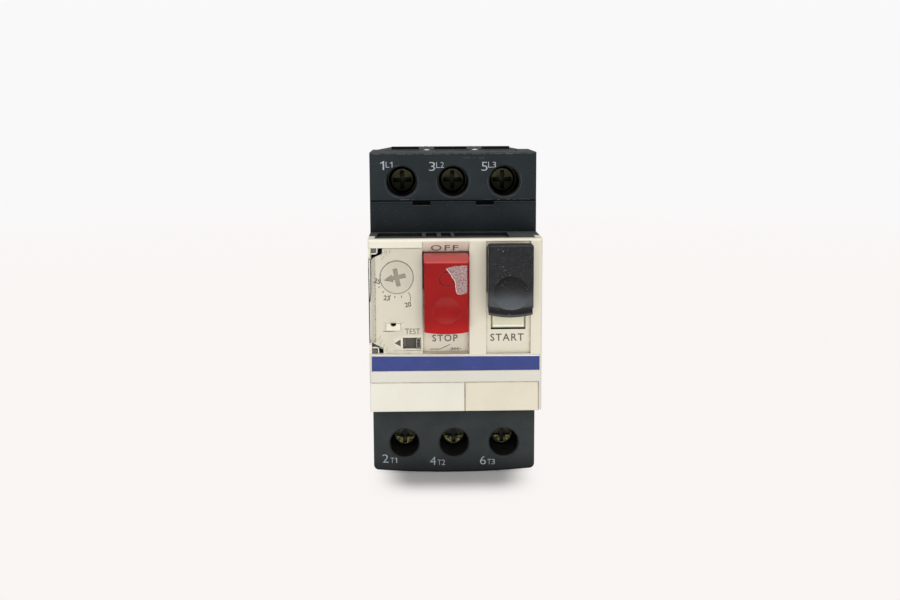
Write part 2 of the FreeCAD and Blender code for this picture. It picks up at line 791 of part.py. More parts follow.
def front_casing():
    body = block((-HALF_W, HALF_W), (Y_BAND, Y_JOINT), (Z_SEAM_LOW, Z_SEAM_UP))
    nose = block((-HALF_W, HALF_W), (Y_SKIRT, Y_BAND), (NOSE_LOW, NOSE_TOP))
    tongue = block((-TONGUE_W, TONGUE_W), (Y_PLATE, Y_SKIRT), (NOSE_LOW, NOSE_TOP))
    rear = block(
        (-INNER_W, INNER_W), (Y_WALL_BACK, Y_JOINT + PAST), (Z_SEAM_LOW + WALL, Z_SEAM_UP - WALL)
    )
    front = block((-INNER_W, INNER_W), (Y_PLATE - PAST, Y_FACE), (-INNER_TOP, INNER_TOP))
    through = (Y_FACE - PAST, Y_WALL_BACK + PAST)
    groove = [(Y_BAND, Z_SEAM_UP - SEAM_GROOVE), (Y_BAND, Z_SEAM_UP), (Y_BAND + SEAM_GROOVE, Z_SEAM_UP)]
    tools = [rear, front, prism_x(groove, (-HALF_W - PAST, HALF_W + PAST))]
    tools += [rod_y(x, through, ROD_Z, ROD_D + 2 * SLIDE) for x in (STOP_X, START_X)]
    tools.append(
        block(
            (TAIL_LEFT - TEST_TRAVEL - SLIDE, TAIL_LEFT + TEST_TAIL_W + SLIDE),
            through,
            around(TEST_Z, TEST_TAIL_H + 2 * SLIDE),
        )
    )
    for side in (-1, 1):
        tools.append(
            block(
                around(side * NOTCH_SHARE * CASE_WIDTH, NOTCH_WIDTH),
                (Y_BAND - PAST, Y_BAND + NOTCH_DEPTH),
                (Z_SEAM_UP - NOTCH_HEIGHT, Z_SEAM_UP + PAST),
            )
        )
    slot = BIMETAL_WIDTH + 2 * PAST
    for pole in POLE_ORDER:
        tools.append(
            block(
                around(pole_x(pole), FOOT_WIDTH),
                around(Y_BIMETAL, slot),
                (Z_SEAM_LOW - PAST, Z_SEAM_LOW + WALL + PAST),
            )
        )
    ears = []
    for x in ear_spans():
        ears.append(
            block(x, (Y_FACE, Y_PIVOT + LEVER_BOSS_D / 2), around(LEVER_PIVOT_Z, LEVER_BOSS_D))
        )
    ledge_top = TRIP_LOW_Z - TOUCH
    for side in (-1, 1):
        ears.append(
            block(
                around(side * POLE_PITCH / 2, TRIP_LEDGE_W),
                (Y_FACE, Y_TRIP_BACK),
                (ledge_top - TRIP_LEDGE_T, ledge_top),
            )
        )
    shell = joined(carved(joined(body, nose, tongue), *tools, *vent_pockets()), *ears)
    spans = ear_spans()
    return carved(shell, rod_x((spans[0][0], spans[-1][1]), Y_PIVOT, LEVER_PIVOT_Z, PIN_D))


def mechanism_pin():
    spans = ear_spans()
    return rod_x((spans[0][0], spans[-1][1]), Y_PIVOT, LEVER_PIVOT_Z, PIN_D)


def case_rivet(x, z):
    start = Y_JOINT - RIVET_FLANGE - RIVET_HEAD_T
    end = rivet_end(z)
    shank = rod_y(x, (start, end), z, RIVET_D)
    front = rod_y(x, (start, start + RIVET_HEAD_T), z, RIVET_HEAD_D)
    back = rod_y(x, (end - RIVET_HEAD_T, end), z, RIVET_HEAD_D)
    bore = rod_y(x, (start - PAST, end + PAST), z, RIVET_BORE)
    return carved(joined(shank, front, back), bore)


# Front cover and what sits on it


def stop_recess():
    """Deep recess whose top wall is a ramp towards the front."""
    outline = [
        (Y_FRONT - PAST, RECESS_LOW),
        (Y_STOP_FLOOR, RECESS_LOW),
        (Y_STOP_FLOOR, RECESS_TOP - STOP_RECESS),
        (Y_FRONT, RECESS_TOP),
        (Y_FRONT - PAST, RECESS_TOP),
    ]
    return prism_x(outline, (STOP_LEFT, STOP_RIGHT))


def setting_zone():
    """Shallow recess for the clear cover, with its hinge gap at the left edge."""
    zone = block((-HALF_W - PAST, STOP_LEFT), (Y_FRONT - PAST, Y_ZONE), (RECESS_LOW, ZONE_TOP))
    gap = block(
        (-HALF_W - PAST, HINGE_X + CLEAR_BARREL_D / 2 + CLEAR_GAP),
        (Y_FRONT - PAST, HINGE_Y + CLEAR_BARREL_D / 2 + 2 * CLEAR_GAP),
        (LEG_LOW - CLEAR_GAP, LEG_TOP + CLEAR_GAP),
    )
    pins = (LEG_LOW - CLEAR_PIN_L - CLEAR_GAP, LEG_TOP + CLEAR_PIN_L + CLEAR_GAP)
    socket = rod_z(HINGE_X, HINGE_Y, pins, CLEAR_PIN_D + 2 * SWING)
    return [zone, gap, socket]


def corner_outlines(left):
    """Slanted outlines of the upper and lower left corners that the clear cover leaves free."""
    outlines = []
    for edge, leg, rise in (
        (ZONE_TOP, LEG_TOP, CLEAR_CORNER_RISE),
        (RECESS_LOW, LEG_LOW, -CLEAR_CORNER_RISE),
    ):
        right = CLEAR_LEFT + CLEAR_CORNER_W
        outlines.append([(left, edge), (right, edge), (right, leg + rise), (left, leg)])
    return outlines


def corner_cuts():
    """Openings of the cover in the corners that the clear cover leaves free."""
    y = (Y_ZONE - PAST, Y_ZONE + CORNER_CUT_DEPTH)
    return [prism_y(outline, y) for outline in corner_outlines(-HALF_W + SWING + EDGE_R)]


def front_cover():
    height = (NOSE_LOW, NOSE_TOP)
    plate = block((-HALF_W, HALF_W), (Y_FRONT, Y_PLATE), height)
    right = block((INNER_W, HALF_W), (Y_PLATE, Y_SKIRT), height)
    left = block((-HALF_W, -INNER_W), (Y_PLATE, Y_SKIRT), height)
    pocket = block(
        (STOP_LEFT - STOP_POCKET_WALL, STOP_RIGHT + STOP_POCKET_WALL),
        (Y_PLATE, Y_STOP_BACK),
        (RECESS_LOW - STOP_POCKET_WALL, INNER_TOP - TOUCH),
    )
    hinge = block(
        (-INNER_W, -INNER_W + HINGE_WALL),
        (Y_PLATE, HINGE_Y + CLEAR_BARREL_D),
        (LEG_LOW - PAST, LEG_TOP + PAST),
    )
    body = joined(plate, right, left)
    body = rounded(
        body,
        FRONT_R,
        lambda p: near(p.y, Y_FRONT) and (near(abs(p.x), HALF_W) or near(abs(p.z), NOSE_TOP)),
    )
    body = joined(body, pocket, hinge)
    through = (Y_FRONT - PAST, Y_STOP_BACK + PAST)
    start_x = (START_LEFT, START_RIGHT)
    tools = [
        block(start_x, (Y_FRONT - PAST, Y_START_FLOOR), (RECESS_LOW, RECESS_TOP)),
        block(start_x, through, (START_STEM_LOW - TOUCH, START_STEM_TOP + TOUCH)),
        block(around(START_X, WINDOW_WIDTH), through, (WINDOW_LOW, START_STEM_LOW)),
        stop_recess(),
        block((STOP_LEFT, STOP_RIGHT), through, (STOP_STEM_LOW - TOUCH, STOP_CAP_TOP + TOUCH)),
        rod_y(DIAL_X, through, DIAL_Z, DIAL_D + 2 * DIAL_GAP),
        block((TEST_LEFT, TEST_RIGHT), through, around(TEST_Z, TEST_WINDOW_H)),
        block(
            around(0, CASE_WIDTH - 2 * LABEL_MARGIN + 2 * TOUCH),
            (Y_FRONT - PAST, Y_FRONT + LABEL_SINK + LABEL_T),
            (LABEL_LOW_Z - TOUCH, LABEL_TOP_Z + TOUCH),
        ),
        block(
            (-HALF_W - PAST, HALF_W - PLATE_MARGIN + TOUCH),
            (Y_FRONT - PAST, Y_FRONT + LABEL_SINK + PLATE_T),
            (NOSE_LOW - PAST, NOSE_LOW + PLATE_HEIGHT + TOUCH),
        ),
    ]
    body = carved(body, *tools, *setting_zone(), *corner_cuts())
    eyelet = block(
        around(EYELET_X, EYELET_W), (Y_CLEAR, Y_ZONE), around(EYELET_Z, EYELET_H)
    )
    hole = rod_y(
        EYELET_X, (Y_CLEAR - PAST, Y_ZONE), EYELET_Z + EYELET_H / 2, EYELET_HOLE_D
    )
    return joined(body, carved(eyelet, hole))


def name_label():
    y = Y_FRONT + LABEL_SINK
    return block(
        around(0, CASE_WIDTH - 2 * LABEL_MARGIN), (y, y + LABEL_T), (LABEL_LOW_Z, LABEL_TOP_Z)
    )


def lower_plate(x):
    """Clip-in plate along the lower edge of the cover."""
    y = Y_FRONT + LABEL_SINK
    plate = block(x, (y, y + PLATE_T), (NOSE_LOW, NOSE_LOW + PLATE_HEIGHT))
    return rounded(plate, PLATE_R, lambda p: near(p.y, y))


def marker_plate():
    return lower_plate((-HALF_W + SWING, PLATE_SPLIT))


def aux_contact_cover():
    return lower_plate((PLATE_SPLIT + TOUCH, HALF_W - PLATE_MARGIN))


def clear_cover():
    y = (Y_CLEAR, Y_CLEAR + CLEAR_T)
    plate = block((CLEAR_LEFT, CLEAR_RIGHT), y, (RECESS_LOW + TOUCH, ZONE_TOP - TOUCH))
    leg = block((CLEAR_LEFT, CLEAR_LEFT + CLEAR_T), (Y_CLEAR, HINGE_Y), (LEG_LOW, LEG_TOP))
    through = (y[0] - PAST, y[1] + PAST)
    tools = [prism_y(outline, through) for outline in corner_outlines(CLEAR_LEFT - PAST)]
    tools += [
        block(
            around(EYELET_X, EYELET_W + 2 * CLEAR_SLOT_GAP),
            through,
            around(EYELET_Z, EYELET_H + 2 * CLEAR_GAP),
        ),
        block(
            (TEST_LEFT - TEST_TRAVEL - SLIDE, CLEAR_RIGHT + PAST),
            through,
            around(TEST_Z, TEST_WINDOW_H + 2 * CLEAR_GAP),
        ),
    ]
    body = carved(joined(plate, leg), *tools)
    barrel = rod_z(HINGE_X, HINGE_Y, (LEG_LOW, LEG_TOP), CLEAR_BARREL_D)
    pins = rod_z(HINGE_X, HINGE_Y, (LEG_LOW - CLEAR_PIN_L, LEG_TOP + CLEAR_PIN_L), CLEAR_PIN_D)
    return joined(body, barrel, pins)


def dial_mark():
    """Cross slot of the dial whose left arm ends in an arrow."""
    y = (Y_ZONE - DIAL_PROUD - PAST, Y_ZONE - DIAL_PROUD + DIAL_SLOT_DEPTH)
    half = DIAL_SLOT_L / 2
    across = block((DIAL_X - half, DIAL_X + half), y, around(DIAL_Z, DIAL_SLOT_W))
    upright = block(around(DIAL_X, DIAL_SLOT_W), y, around(DIAL_Z, DIAL_SLOT_L))
    arrow = [
        (DIAL_X - DIAL_ARROW_L, DIAL_Z),
        (DIAL_X - DIAL_SLOT_W, DIAL_Z - DIAL_ARROW_W / 2),
        (DIAL_X - DIAL_SLOT_W, DIAL_Z + DIAL_ARROW_W / 2),
    ]
    mark = joined(across, upright, prism_y(arrow, y))
    mark.rotate(Vector(DIAL_X, 0, DIAL_Z), Vector(0, -1, 0), DIAL_ARROW_TURN)
    return mark


def setting_dial():
    flange_y = Y_PLATE + TOUCH
    hub_end = flange_y + DIAL_HUB_L
    disc = rod_y(DIAL_X, (Y_ZONE - DIAL_PROUD, flange_y), DIAL_Z, DIAL_D)
    flange_d = DIAL_D + 2 * DIAL_GAP + 2 * DIAL_FLANGE_LAP
    flange = rod_y(DIAL_X, (flange_y, flange_y + DIAL_FLANGE_T), DIAL_Z, flange_d)
    hub = rod_y(DIAL_X, (flange_y, hub_end), DIAL_Z, DIAL_HUB_D)
    cam = block(
        (DIAL_X - DIAL_CAM_L, DIAL_X), (hub_end - DIAL_CAM_T, hub_end), around(DIAL_Z, DIAL_CAM_T)
    )
    return carved(joined(disc, flange, hub, cam), dial_mark())


def test_slider():
    y = Y_PLATE + TOUCH
    plate = block(
        (TEST_LEFT - TEST_LAP, TEST_END),
        (y, y + TEST_PLATE_T),
        around(TEST_Z, TEST_WINDOW_H + 2 * TEST_LAP),
    )
    nub_x = (TEST_RIGHT - TOUCH - TEST_NUB_W, TEST_RIGHT - TOUCH)
    nub = block(
        nub_x,
        (Y_ZONE - TEST_NUB_PROUD, y),
        around(TEST_Z, TEST_WINDOW_H - 2 * SLIDE),
    )
    tail = block(
        (TAIL_LEFT, TAIL_LEFT + TEST_TAIL_W), (y, Y_TRIP - SLIDE), around(TEST_Z, TEST_TAIL_H)
    )
    face = Y_ZONE - TEST_NUB_PROUD
    grips = []
    for step in range(TEST_GRIPS):
        z = TEST_Z + (step - (TEST_GRIPS - 1) / 2) * TEST_GRIP_PITCH
        depth = (face - PAST, face + TEST_GRIP_W)
        grips.append(block((nub_x[0] - PAST, nub_x[1] + PAST), depth, around(z, TEST_GRIP_W)))
    return joined(plate, carved(nub, *grips), tail)


# Buttons


def push_rod(x, start):
    """Rod behind a button, with a domed tip that rolls on its lever."""
    centre = Y_ROD_TIP - ROD_D / 2
    dome = Part.makeSphere(ROD_D / 2, Vector(x, centre, ROD_Z))
    return [rod_y(x, (start, centre), ROD_Z, ROD_D), dome]


def bowed_outline(x, y, low, top, bow):
    """Front outline of a button cap, with its lower edge bowed downwards in the middle."""
    left, right = x
    points = [(right, low + bow), (right, top), (left, top), (left, low + bow)]
    corners = [Vector(px, y, pz) for px, pz in points]
    arc = Part.Arc(corners[3], Vector((left + right) / 2, y, low), corners[0]).toShape()
    sides = [Part.makeLine(a, b) for a, b in zip(corners, corners[1:])]
    return Part.Face(Part.Wire(sides + [arc]))


def start_button():
    """Hood-shaped cap with a finger dish, a rounded lower lip and a rim under the lip."""
    front = Y_FRONT - START_REACH
    back = Y_START_FLOOR - START_TRAVEL - SLIDE
    left, right = START_LEFT + START_SIDE_GAP, START_RIGHT - START_SIDE_GAP
    top = RECESS_TOP - START_SIDE_GAP
    lip = START_CAP_LOW + START_RIM_H
    cap = bowed_outline((left, right), front, lip, top, START_BOW).extrude(Vector(0, back - front, 0))
    cap = rounded(cap, START_LIP_R, lambda p: near(p.y, front) and near(p.z, lip + START_BOW))
    cap = rounded(cap, START_R, lambda p: near(p.y, front) and near(p.z, top))
    cap = rounded(cap, START_SIDE_R, lambda p: near(p.y, front) and not near(p.x, START_X))
    hollow = dimple(
        START_X, front, START_CAP_LOW + START_DIMPLE_RISE, START_DIMPLE_D, START_DIMPLE_DEPTH
    )
    rim_y = front + START_RIM_BACK
    rim_x = (left + START_RIM_INSET, right - START_RIM_INSET)
    rim = bowed_outline(rim_x, rim_y, START_CAP_LOW, lip + START_LIP_R, START_BOW)
    rim = rim.extrude(Vector(0, back - rim_y, 0))
    stem = block(
        (left + START_STEM_INSET, right - START_STEM_INSET),
        (back, Y_START_FLANGE),
        (START_STEM_LOW, START_STEM_TOP),
    )
    return joined(carved(joined(cap, rim), hollow), stem)


def start_carrier():
    flange = block(
        (START_LEFT - FLANGE_LAP, START_RIGHT + FLANGE_LAP),
        (Y_START_FLANGE, Y_START_ROD),
        (WINDOW_LOW - FLANGE_LAP, FLANGE_TOP),
    )
    tab_y = Y_START_FLOOR + TOUCH
    tab_low = WINDOW_LOW + TAB_LOW_GAP
    width = around(START_X, WINDOW_WIDTH - 2 * TAB_GAP)
    tab = block(width, (tab_y, Y_START_FLANGE), (tab_low, START_STEM_LOW))
    tab = tab.makeChamfer(
        TAB_BEVEL, [e for e in tab.Edges if near(e.CenterOfMass.y, tab_y) and e.CenterOfMass.z < 0]
    )
    return joined(flange, tab, *push_rod(START_X, Y_START_ROD))


def stop_button():
    front = Y_FRONT - STOP_REACH
    back = Y_STOP_FLOOR - STOP_TRAVEL - SLIDE
    left, right = STOP_LEFT + STOP_SIDE_GAP, STOP_RIGHT - STOP_SIDE_GAP
    outline = bowed_outline((left, right), front, STOP_CAP_LOW, STOP_CAP_TOP, STOP_BOW)
    cap = outline.extrude(Vector(0, back - front, 0))
    bevel = [
        (front - PAST, STOP_CAP_TOP - STOP_BEVEL - PAST),
        (front + STOP_BEVEL + PAST, STOP_CAP_TOP + PAST),
        (front - PAST, STOP_CAP_TOP + PAST),
    ]
    cap = carved(cap, prism_x(bevel, (left - PAST, right + PAST)))
    cap = rounded(cap, STOP_R, lambda p: near(p.y, front) and near(abs(p.x - STOP_X), (right - left) / 2))
    ring_z = STOP_CAP_LOW + STOP_RING_RISE
    ring_y = (front - PAST, front + STOP_RING_DEPTH)
    ring = carved(
        rod_y(STOP_X, ring_y, ring_z, STOP_RING_D),
        rod_y(STOP_X, ring_y, ring_z, STOP_RING_D - 2 * STOP_RING_W),
    )
    hollow = dimple(
        STOP_X, front, STOP_CAP_LOW + STOP_DIMPLE_RISE, STOP_DIMPLE_D, STOP_DIMPLE_DEPTH
    )
    stem = block(
        (left, right), (back, Y_STOP_FLANGE), (STOP_STEM_LOW, STOP_CAP_TOP - TOUCH)
    )
    flange = block(
        (STOP_LEFT - FLANGE_LAP, STOP_RIGHT + FLANGE_LAP),
        (Y_STOP_FLANGE, Y_STOP_ROD),
        (STOP_STEM_LOW - FLANGE_LAP, FLANGE_TOP),
    )
    return joined(carved(cap, ring, hollow), stem, flange, *push_rod(STOP_X, Y_STOP_ROD))


def button_spring(x, start):
    length = Y_FACE - start - TOUCH
    return spring(Vector(x, start + TOUCH / 2, ROD_Z), Vector(0, 1, 0), length, SPRING_D, SPRING_TURNS)


# Levers and trip slider


def lever(x):
    """Flat lever that turns on the mechanism pin and is pushed near its top by a button rod."""
    plate = block(
        lever_x(x), (Y_LEVER, Y_LEVER_BACK), (LEVER_PIVOT_Z, ROD_Z + LEVER_TOP_OVER)
    )
    boss = rod_x(lever_x(x), Y_PIVOT, LEVER_PIVOT_Z, LEVER_BOSS_D)
    bore = rod_x(
        (lever_x(x)[0] - PAST, lever_x(x)[1] + PAST), Y_PIVOT, LEVER_PIVOT_Z, PIN_D + 2 * SWING
    )
    return carved(joined(plate, boss), bore)


def drive_lever():
    return lever(START_X)


def trip_lever():
    top = ROD_Z + LEVER_TOP_OVER
    arm = block(
        around(STOP_X, HOOK_ARM_W), (Y_LEVER, Y_LEVER_BACK + HOOK_ARM_L), (top - HOOK_ARM_T, top)
    )
    return joined(lever(STOP_X), arm)


def trip_slider():
    z = (TRIP_LOW_Z, TRIP_LOW_Z + TRIP_BAR_H)
    reach = -BIMETAL_T / 2 - TRIP_FINGER_GAP
    bar = block(
        (-INNER_W + TEST_TRAVEL + SLIDE, pole_x(POLE_ORDER[-1]) + reach), (Y_TRIP, Y_TRIP_BACK), z
    )
    lug_x = TAIL_LEFT - SLIDE
    lug = block((lug_x - TRIP_LUG_W, lug_x), (Y_TRIP - TRIP_LUG_L, Y_TRIP), z)
    fingers = []
    for pole in POLE_ORDER:
        x = pole_x(pole) + reach
        fingers.append(
            block((x - TRIP_FINGER_W, x), (Y_TRIP, Y_BIMETAL + BIMETAL_WIDTH / 2), z)
        )
    return joined(bar, lug, *fingers)


# Terminals and current path


def terminal_screw(x):
    head = rod_y(x, (Y_HEAD, Y_SADDLE), Z_SCREW, HEAD_D)
    rim = [e for e in head.Edges if near(e.CenterOfMass.y, Y_HEAD)]
    head = head.makeChamfer(EDGE_R, rim)
    depth = (Y_HEAD - PAST, Y_HEAD + CROSS_DEPTH)
    arms = [
        block(around(x, CROSS_LENGTH), depth, around(Z_SCREW, CROSS_WIDTH)),
        block(around(x, CROSS_WIDTH), depth, around(Z_SCREW, CROSS_LENGTH)),
    ]
    shank = rod_y(x, (Y_SADDLE, Y_TIP), Z_SCREW, SCREW_D)
    return joined(carved(head, *arms), shank)


def terminal_saddle(x):
    """Clamping plate with two shallow grooves for the conductors."""
    z = (Z_SCREW - SADDLE_INWARD, Z_SCREW + SADDLE_OUTWARD)
    plate = block(around(x, CELL_WIDTH - 2 * SLIDE), (Y_SADDLE, Y_GAP), z)
    hole = rod_y(x, (Y_SADDLE - PAST, Y_GAP + PAST), Z_SCREW, SCREW_D + 2 * SWING)
    groove_y = Y_GAP - SADDLE_GROOVE_DEPTH + SADDLE_GROOVE_D / 2
    ends = (z[0] - PAST, z[1] + PAST)
    grooves = [rod_z(x + s * CELL_WIDTH / 4, groove_y, ends, SADDLE_GROOVE_D) for s in (-1, 1)]
    return carved(plate, hole, *grooves)


def terminal_plate(x, inner_z):
    """Tapped plate of an upper terminal bar, from inner_z to its outer end."""
    plate = block(around(x, CELL_WIDTH - 2 * TOUCH), (Y_BAR, Y_BAR_BACK), (inner_z, Z_PLATE_END))
    hole = rod_y(x, (Y_BAR - PAST, Y_BAR_BACK + PAST), Z_SCREW, SCREW_D + 2 * TOUCH)
    return carved(plate, hole)


def contact_tip(x, y, z):
    return rod_y(x, y, z, TIP_D)


def line_bar(x):
    width = around(x, CELL_WIDTH - 2 * BAR_INSET)
    shelf = block(width, (Y_BAR, Y_FLOOR), (Z_CELL, Z_CELL + BAR_T))
    drop = block(width, (Y_FIXED, Y_FLOOR), (Z_TIP_UP - BRIDGE_END, Z_CELL + BAR_T))
    tip = contact_tip(x, (Y_FIXED_TIP, Y_FIXED), Z_TIP_UP)
    return joined(terminal_plate(x, Z_CELL), shelf, drop, tip)


def coil_bar(x):
    width = around(x, COIL_BAR_WIDTH)
    leg = block(width, (Y_FIXED, Y_FLOOR), (COIL_TOP_Z, Z_TIP_LOW + BRIDGE_END))
    foot = block(width, (COIL_Y - COIL_BAR_FRONT, Y_FLOOR), (COIL_TOP_Z, COIL_TOP_Z + BAR_T))
    hole = rod_z(
        x, COIL_Y, (COIL_TOP_Z - PAST, COIL_TOP_Z + BAR_T + PAST), PLUNGER_PIN_D + 2 * SLIDE
    )
    tip = contact_tip(x, (Y_FIXED_TIP, Y_FIXED), Z_TIP_LOW)
    return joined(carved(joined(leg, foot), hole), tip)


def trip_coil(x):
    """Coil turned as one body, with a groove between turns, and its lead to the heater."""
    body = rod_z(x, COIL_Y, (COIL_LOW_Z, COIL_TOP_Z), COIL_D)
    bore = rod_z(x, COIL_Y, (COIL_LOW_Z + COIL_CHEEK, COIL_TOP_Z + PAST), COIL_BORE)
    pitch = (COIL_HEIGHT - 2 * COIL_CHEEK) / COIL_TURNS
    grooves = []
    for turn in range(COIL_TURNS + 1):
        z = COIL_LOW_Z + COIL_CHEEK + turn * pitch
        ring = Part.makeTorus(COIL_D / 2, COIL_GROOVE, Vector(x, COIL_Y, z), Vector(0, 0, 1))
        grooves.append(ring)
    front = Y_BIMETAL + HEATER_HALF_Y + HEATER_RIDGE + TOUCH
    lead_z = COIL_LOW_Z + LEAD_RISE
    lead = block(
        around(x, LEAD_WIDTH), (front, COIL_Y - COIL_BORE / 2 - COIL_GROOVE), (lead_z, lead_z + LEAD_T)
    )
    return joined(carved(body, bore, *grooves), lead)


def plunger(x):
    body = rod_z(x, COIL_Y, (PLUNGER_LOW_Z, PLUNGER_LOW_Z + PLUNGER_LENGTH), PLUNGER_D)
    pin = rod_z(x, COIL_Y, (PLUNGER_LOW_Z, PLUNGER_PIN_Z), PLUNGER_PIN_D)
    return joined(body, pin)


def load_bar(x):
    foot_z = (Z_BIMETAL - BAR_T, Z_BIMETAL)
    plate = flip(terminal_plate(x, -Z_BIMETAL))
    front = Y_BIMETAL - BIMETAL_WIDTH / 2 - FOOT_LAP
    foot = block(around(x, FOOT_WIDTH), (front, Y_BAR_BACK), foot_z)
    return joined(plate, foot)


def bimetal(x):
    return block(
        around(x, BIMETAL_T), around(Y_BIMETAL, BIMETAL_WIDTH), (Z_BIMETAL, Z_BIMETAL_TOP)
    )


def bimetal_heater(x):
    """Insulated heater ribbon, wound round the bimetal with a little play."""
    low = Z_BIMETAL + HEATER_START
    high = low + (HEATER_TURNS - 1) * HEATER_PITCH + HEATER_RIDGE_H
    bore_x = BIMETAL_T + 2 * HEATER_GAP
    bore_y = BIMETAL_WIDTH + 2 * HEATER_GAP
    sleeve_x = bore_x + 2 * HEATER_WALL
    sleeve_y = bore_y + 2 * HEATER_WALL
    sleeve = block(around(x, sleeve_x), around(Y_BIMETAL, sleeve_y), (low, high))
    ridges = []
    for turn in range(HEATER_TURNS):
        z = low + turn * HEATER_PITCH
        ridges.append(
            block(
                around(x, sleeve_x + 2 * HEATER_RIDGE),
                around(Y_BIMETAL, sleeve_y + 2 * HEATER_RIDGE),
                (z, z + HEATER_RIDGE_H),
            )
        )
    bore = block(around(x, bore_x), around(Y_BIMETAL, bore_y), (low - PAST, high + PAST))
    return carved(joined(sleeve, *ridges), bore)


def contact_bridge(x):
    plate = block(
        around(x, BRIDGE_WIDTH), (Y_BRIDGE, Y_BRIDGE_BACK), (Z_BRIDGE_LOW, Z_TIP_UP + BRIDGE_END)
    )
    tips = [contact_tip(x, (Y_BRIDGE_BACK, Y_BRIDGE_TIP), z) for z in (Z_TIP_UP, Z_TIP_LOW)]
    return joined(plate, *tips)


def contact_spring(x):
    length = Y_BRIDGE - Y_POST_WINDOW - TOUCH
    origin = Vector(x, Y_POST_WINDOW + TOUCH / 2, CONTACT_Z)
    return spring(origin, Vector(0, 1, 0), length, CONTACT_SPRING_D, CONTACT_SPRING_TURNS)


def contact_carrier():
    """Cross bar with one post per pole; each post holds a bridge and its spring in a window."""
    z = around(CONTACT_Z, CARRIER_HEIGHT)
    bar = block(around(0, 2 * POLE_PITCH + POST_WIDTH), (Y_CARRIER_FRONT, Y_CARRIER), z)
    posts, windows = [], []
    for pole in POLE_ORDER:
        x = pole_x(pole)
        posts.append(block(around(x, POST_WIDTH), (Y_CARRIER, Y_POST_END), z))
        posts.append(
            block(around(x, CHAMBER_WIDTH - 2 * SLIDE), (Y_CARRIER, Y_JOINT + GUIDE_DEPTH), z)
        )
        windows.append(
            block(
                around(x, BRIDGE_WIDTH + 2 * TOUCH),
                (Y_POST_WINDOW, Y_BRIDGE_BACK),
                (z[0] - PAST, z[1] + PAST),
            )
        )
    nose_z = LEVER_PIVOT_Z + NOSE_ARM
    nose_y = Y_LEVER_BACK + SLIDE + NOSE_H / 2
    nose_x = around(START_X, NOSE_WIDTH)
    nose = block(nose_x, (nose_y, Y_CARRIER_FRONT), around(nose_z, NOSE_H))
    tip = rod_x(nose_x, nose_y, nose_z, NOSE_H)
    return carved(joined(bar, nose, tip, *posts), *windows)


def arc_plate(x, index):
    back = Y_FIXED_TIP - PAST
    z = Z_TIP_UP + ARC_START + index * ARC_PITCH
    plate = block(around(x, CHAMBER_WIDTH - 2 * TOUCH), (back - ARC_DEPTH, back), (z, z + ARC_T))
    notch = [(x - ARC_NOTCH / 2, back), (x + ARC_NOTCH / 2, back), (x, back - ARC_NOTCH)]
    return carved(plate, prism_z(notch, (z, z + ARC_T)))


# Rail clip


def din_clip():
    """Sliding clip that grips the lower rail flange; its tail has a slot for a screwdriver."""
    nose = -RAIL_HALF + HOOK_REACH
    outline = [
        (Y_CLIP, CLIP_LOW),
        (Y_CLIP_BACK, CLIP_LOW),
        (Y_CLIP_BACK, SEAT_LOW),
        (Y_CLIP + CLIP_NOSE_T, nose),
        (Y_CLIP, nose),
    ]
    body = prism_x(outline, around(0, CLIP_WIDTH))
    through = (Y_CLIP - PAST, Y_CLIP_BACK + PAST)
    window = block(around(0, CLIP_WINDOW_W), through, CLIP_WINDOW)
    slot_z = CLIP_LOW + CLIP_SLOT_LOW
    slot = block(around(0, CLIP_SLOT_W), through, (slot_z, slot_z + CLIP_SLOT_H))
    return carved(body, window, slot)


def din_clip_spring():
    length = CLIP_WINDOW[1] - CLIP_BOSS[1] - TOUCH
    origin = Vector(0, Y_CLIP + CLIP_T / 2, CLIP_BOSS[1] + TOUCH / 2)
    return spring(origin, Vector(0, 0, 1), length, CLIP_SPRING_D, CLIP_SPRING_TURNS)


def save(name, *solids):
    shape = solids[0] if len(solids) == 1 else Part.makeCompound(list(solids))
    shape.exportStep(os.path.join("parts", name + ".step"))


SINGLE_PIECES = (
    rear_base,
    upper_terminal_block,
    lower_terminal_block,
    front_casing,
    front_cover,
    name_label,
    marker_plate,
    aux_contact_cover,
    clear_cover,
    setting_dial,
    test_slider,
    start_button,
    start_carrier,
    stop_button,
    drive_lever,
    trip_lever,
    mechanism_pin,
    trip_slider,
    contact_carrier,
    din_clip,
    din_clip_spring,
)
POLE_PIECES = (
    line_bar,
    coil_bar,
    load_bar,
    trip_coil,
    plunger,
    bimetal,
    contact_bridge,
)


def main():
    os.makedirs("parts", exist_ok=True)
    for make in SINGLE_PIECES:
        save(make.__name__, make())
    columns = [pole_x(pole) for pole in POLE_ORDER]
    for number, x in enumerate(columns, start=1):
        for make in POLE_PIECES:
            save(f"{make.__name__}_{number}", make(x))
        for make in (terminal_screw, terminal_saddle):
            piece = make(x)
            save(f"{make.__name__}_{2 * number - 1}", piece)
            save(f"{make.__name__}_{2 * number}", flip(piece))
    save("start_spring", button_spring(START_X, Y_START_ROD))
    save("stop_spring", button_spring(STOP_X, Y_STOP_ROD))
    save("case_rivets", *[case_rivet(x, z) for x, z in rivet_places()])
    save("bimetal_heaters", *[bimetal_heater(x) for x in columns])
    save("contact_springs", *[contact_spring(x) for x in columns])
    save("arc_plates", *[arc_plate(x, i) for x in columns for i in range(ARC_PLATES)])


main()
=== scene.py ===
"""Looks of a three-pole motor protection circuit breaker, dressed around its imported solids."""
import math
import random

import bmesh
import bpy
from mathutils import Matrix, Vector


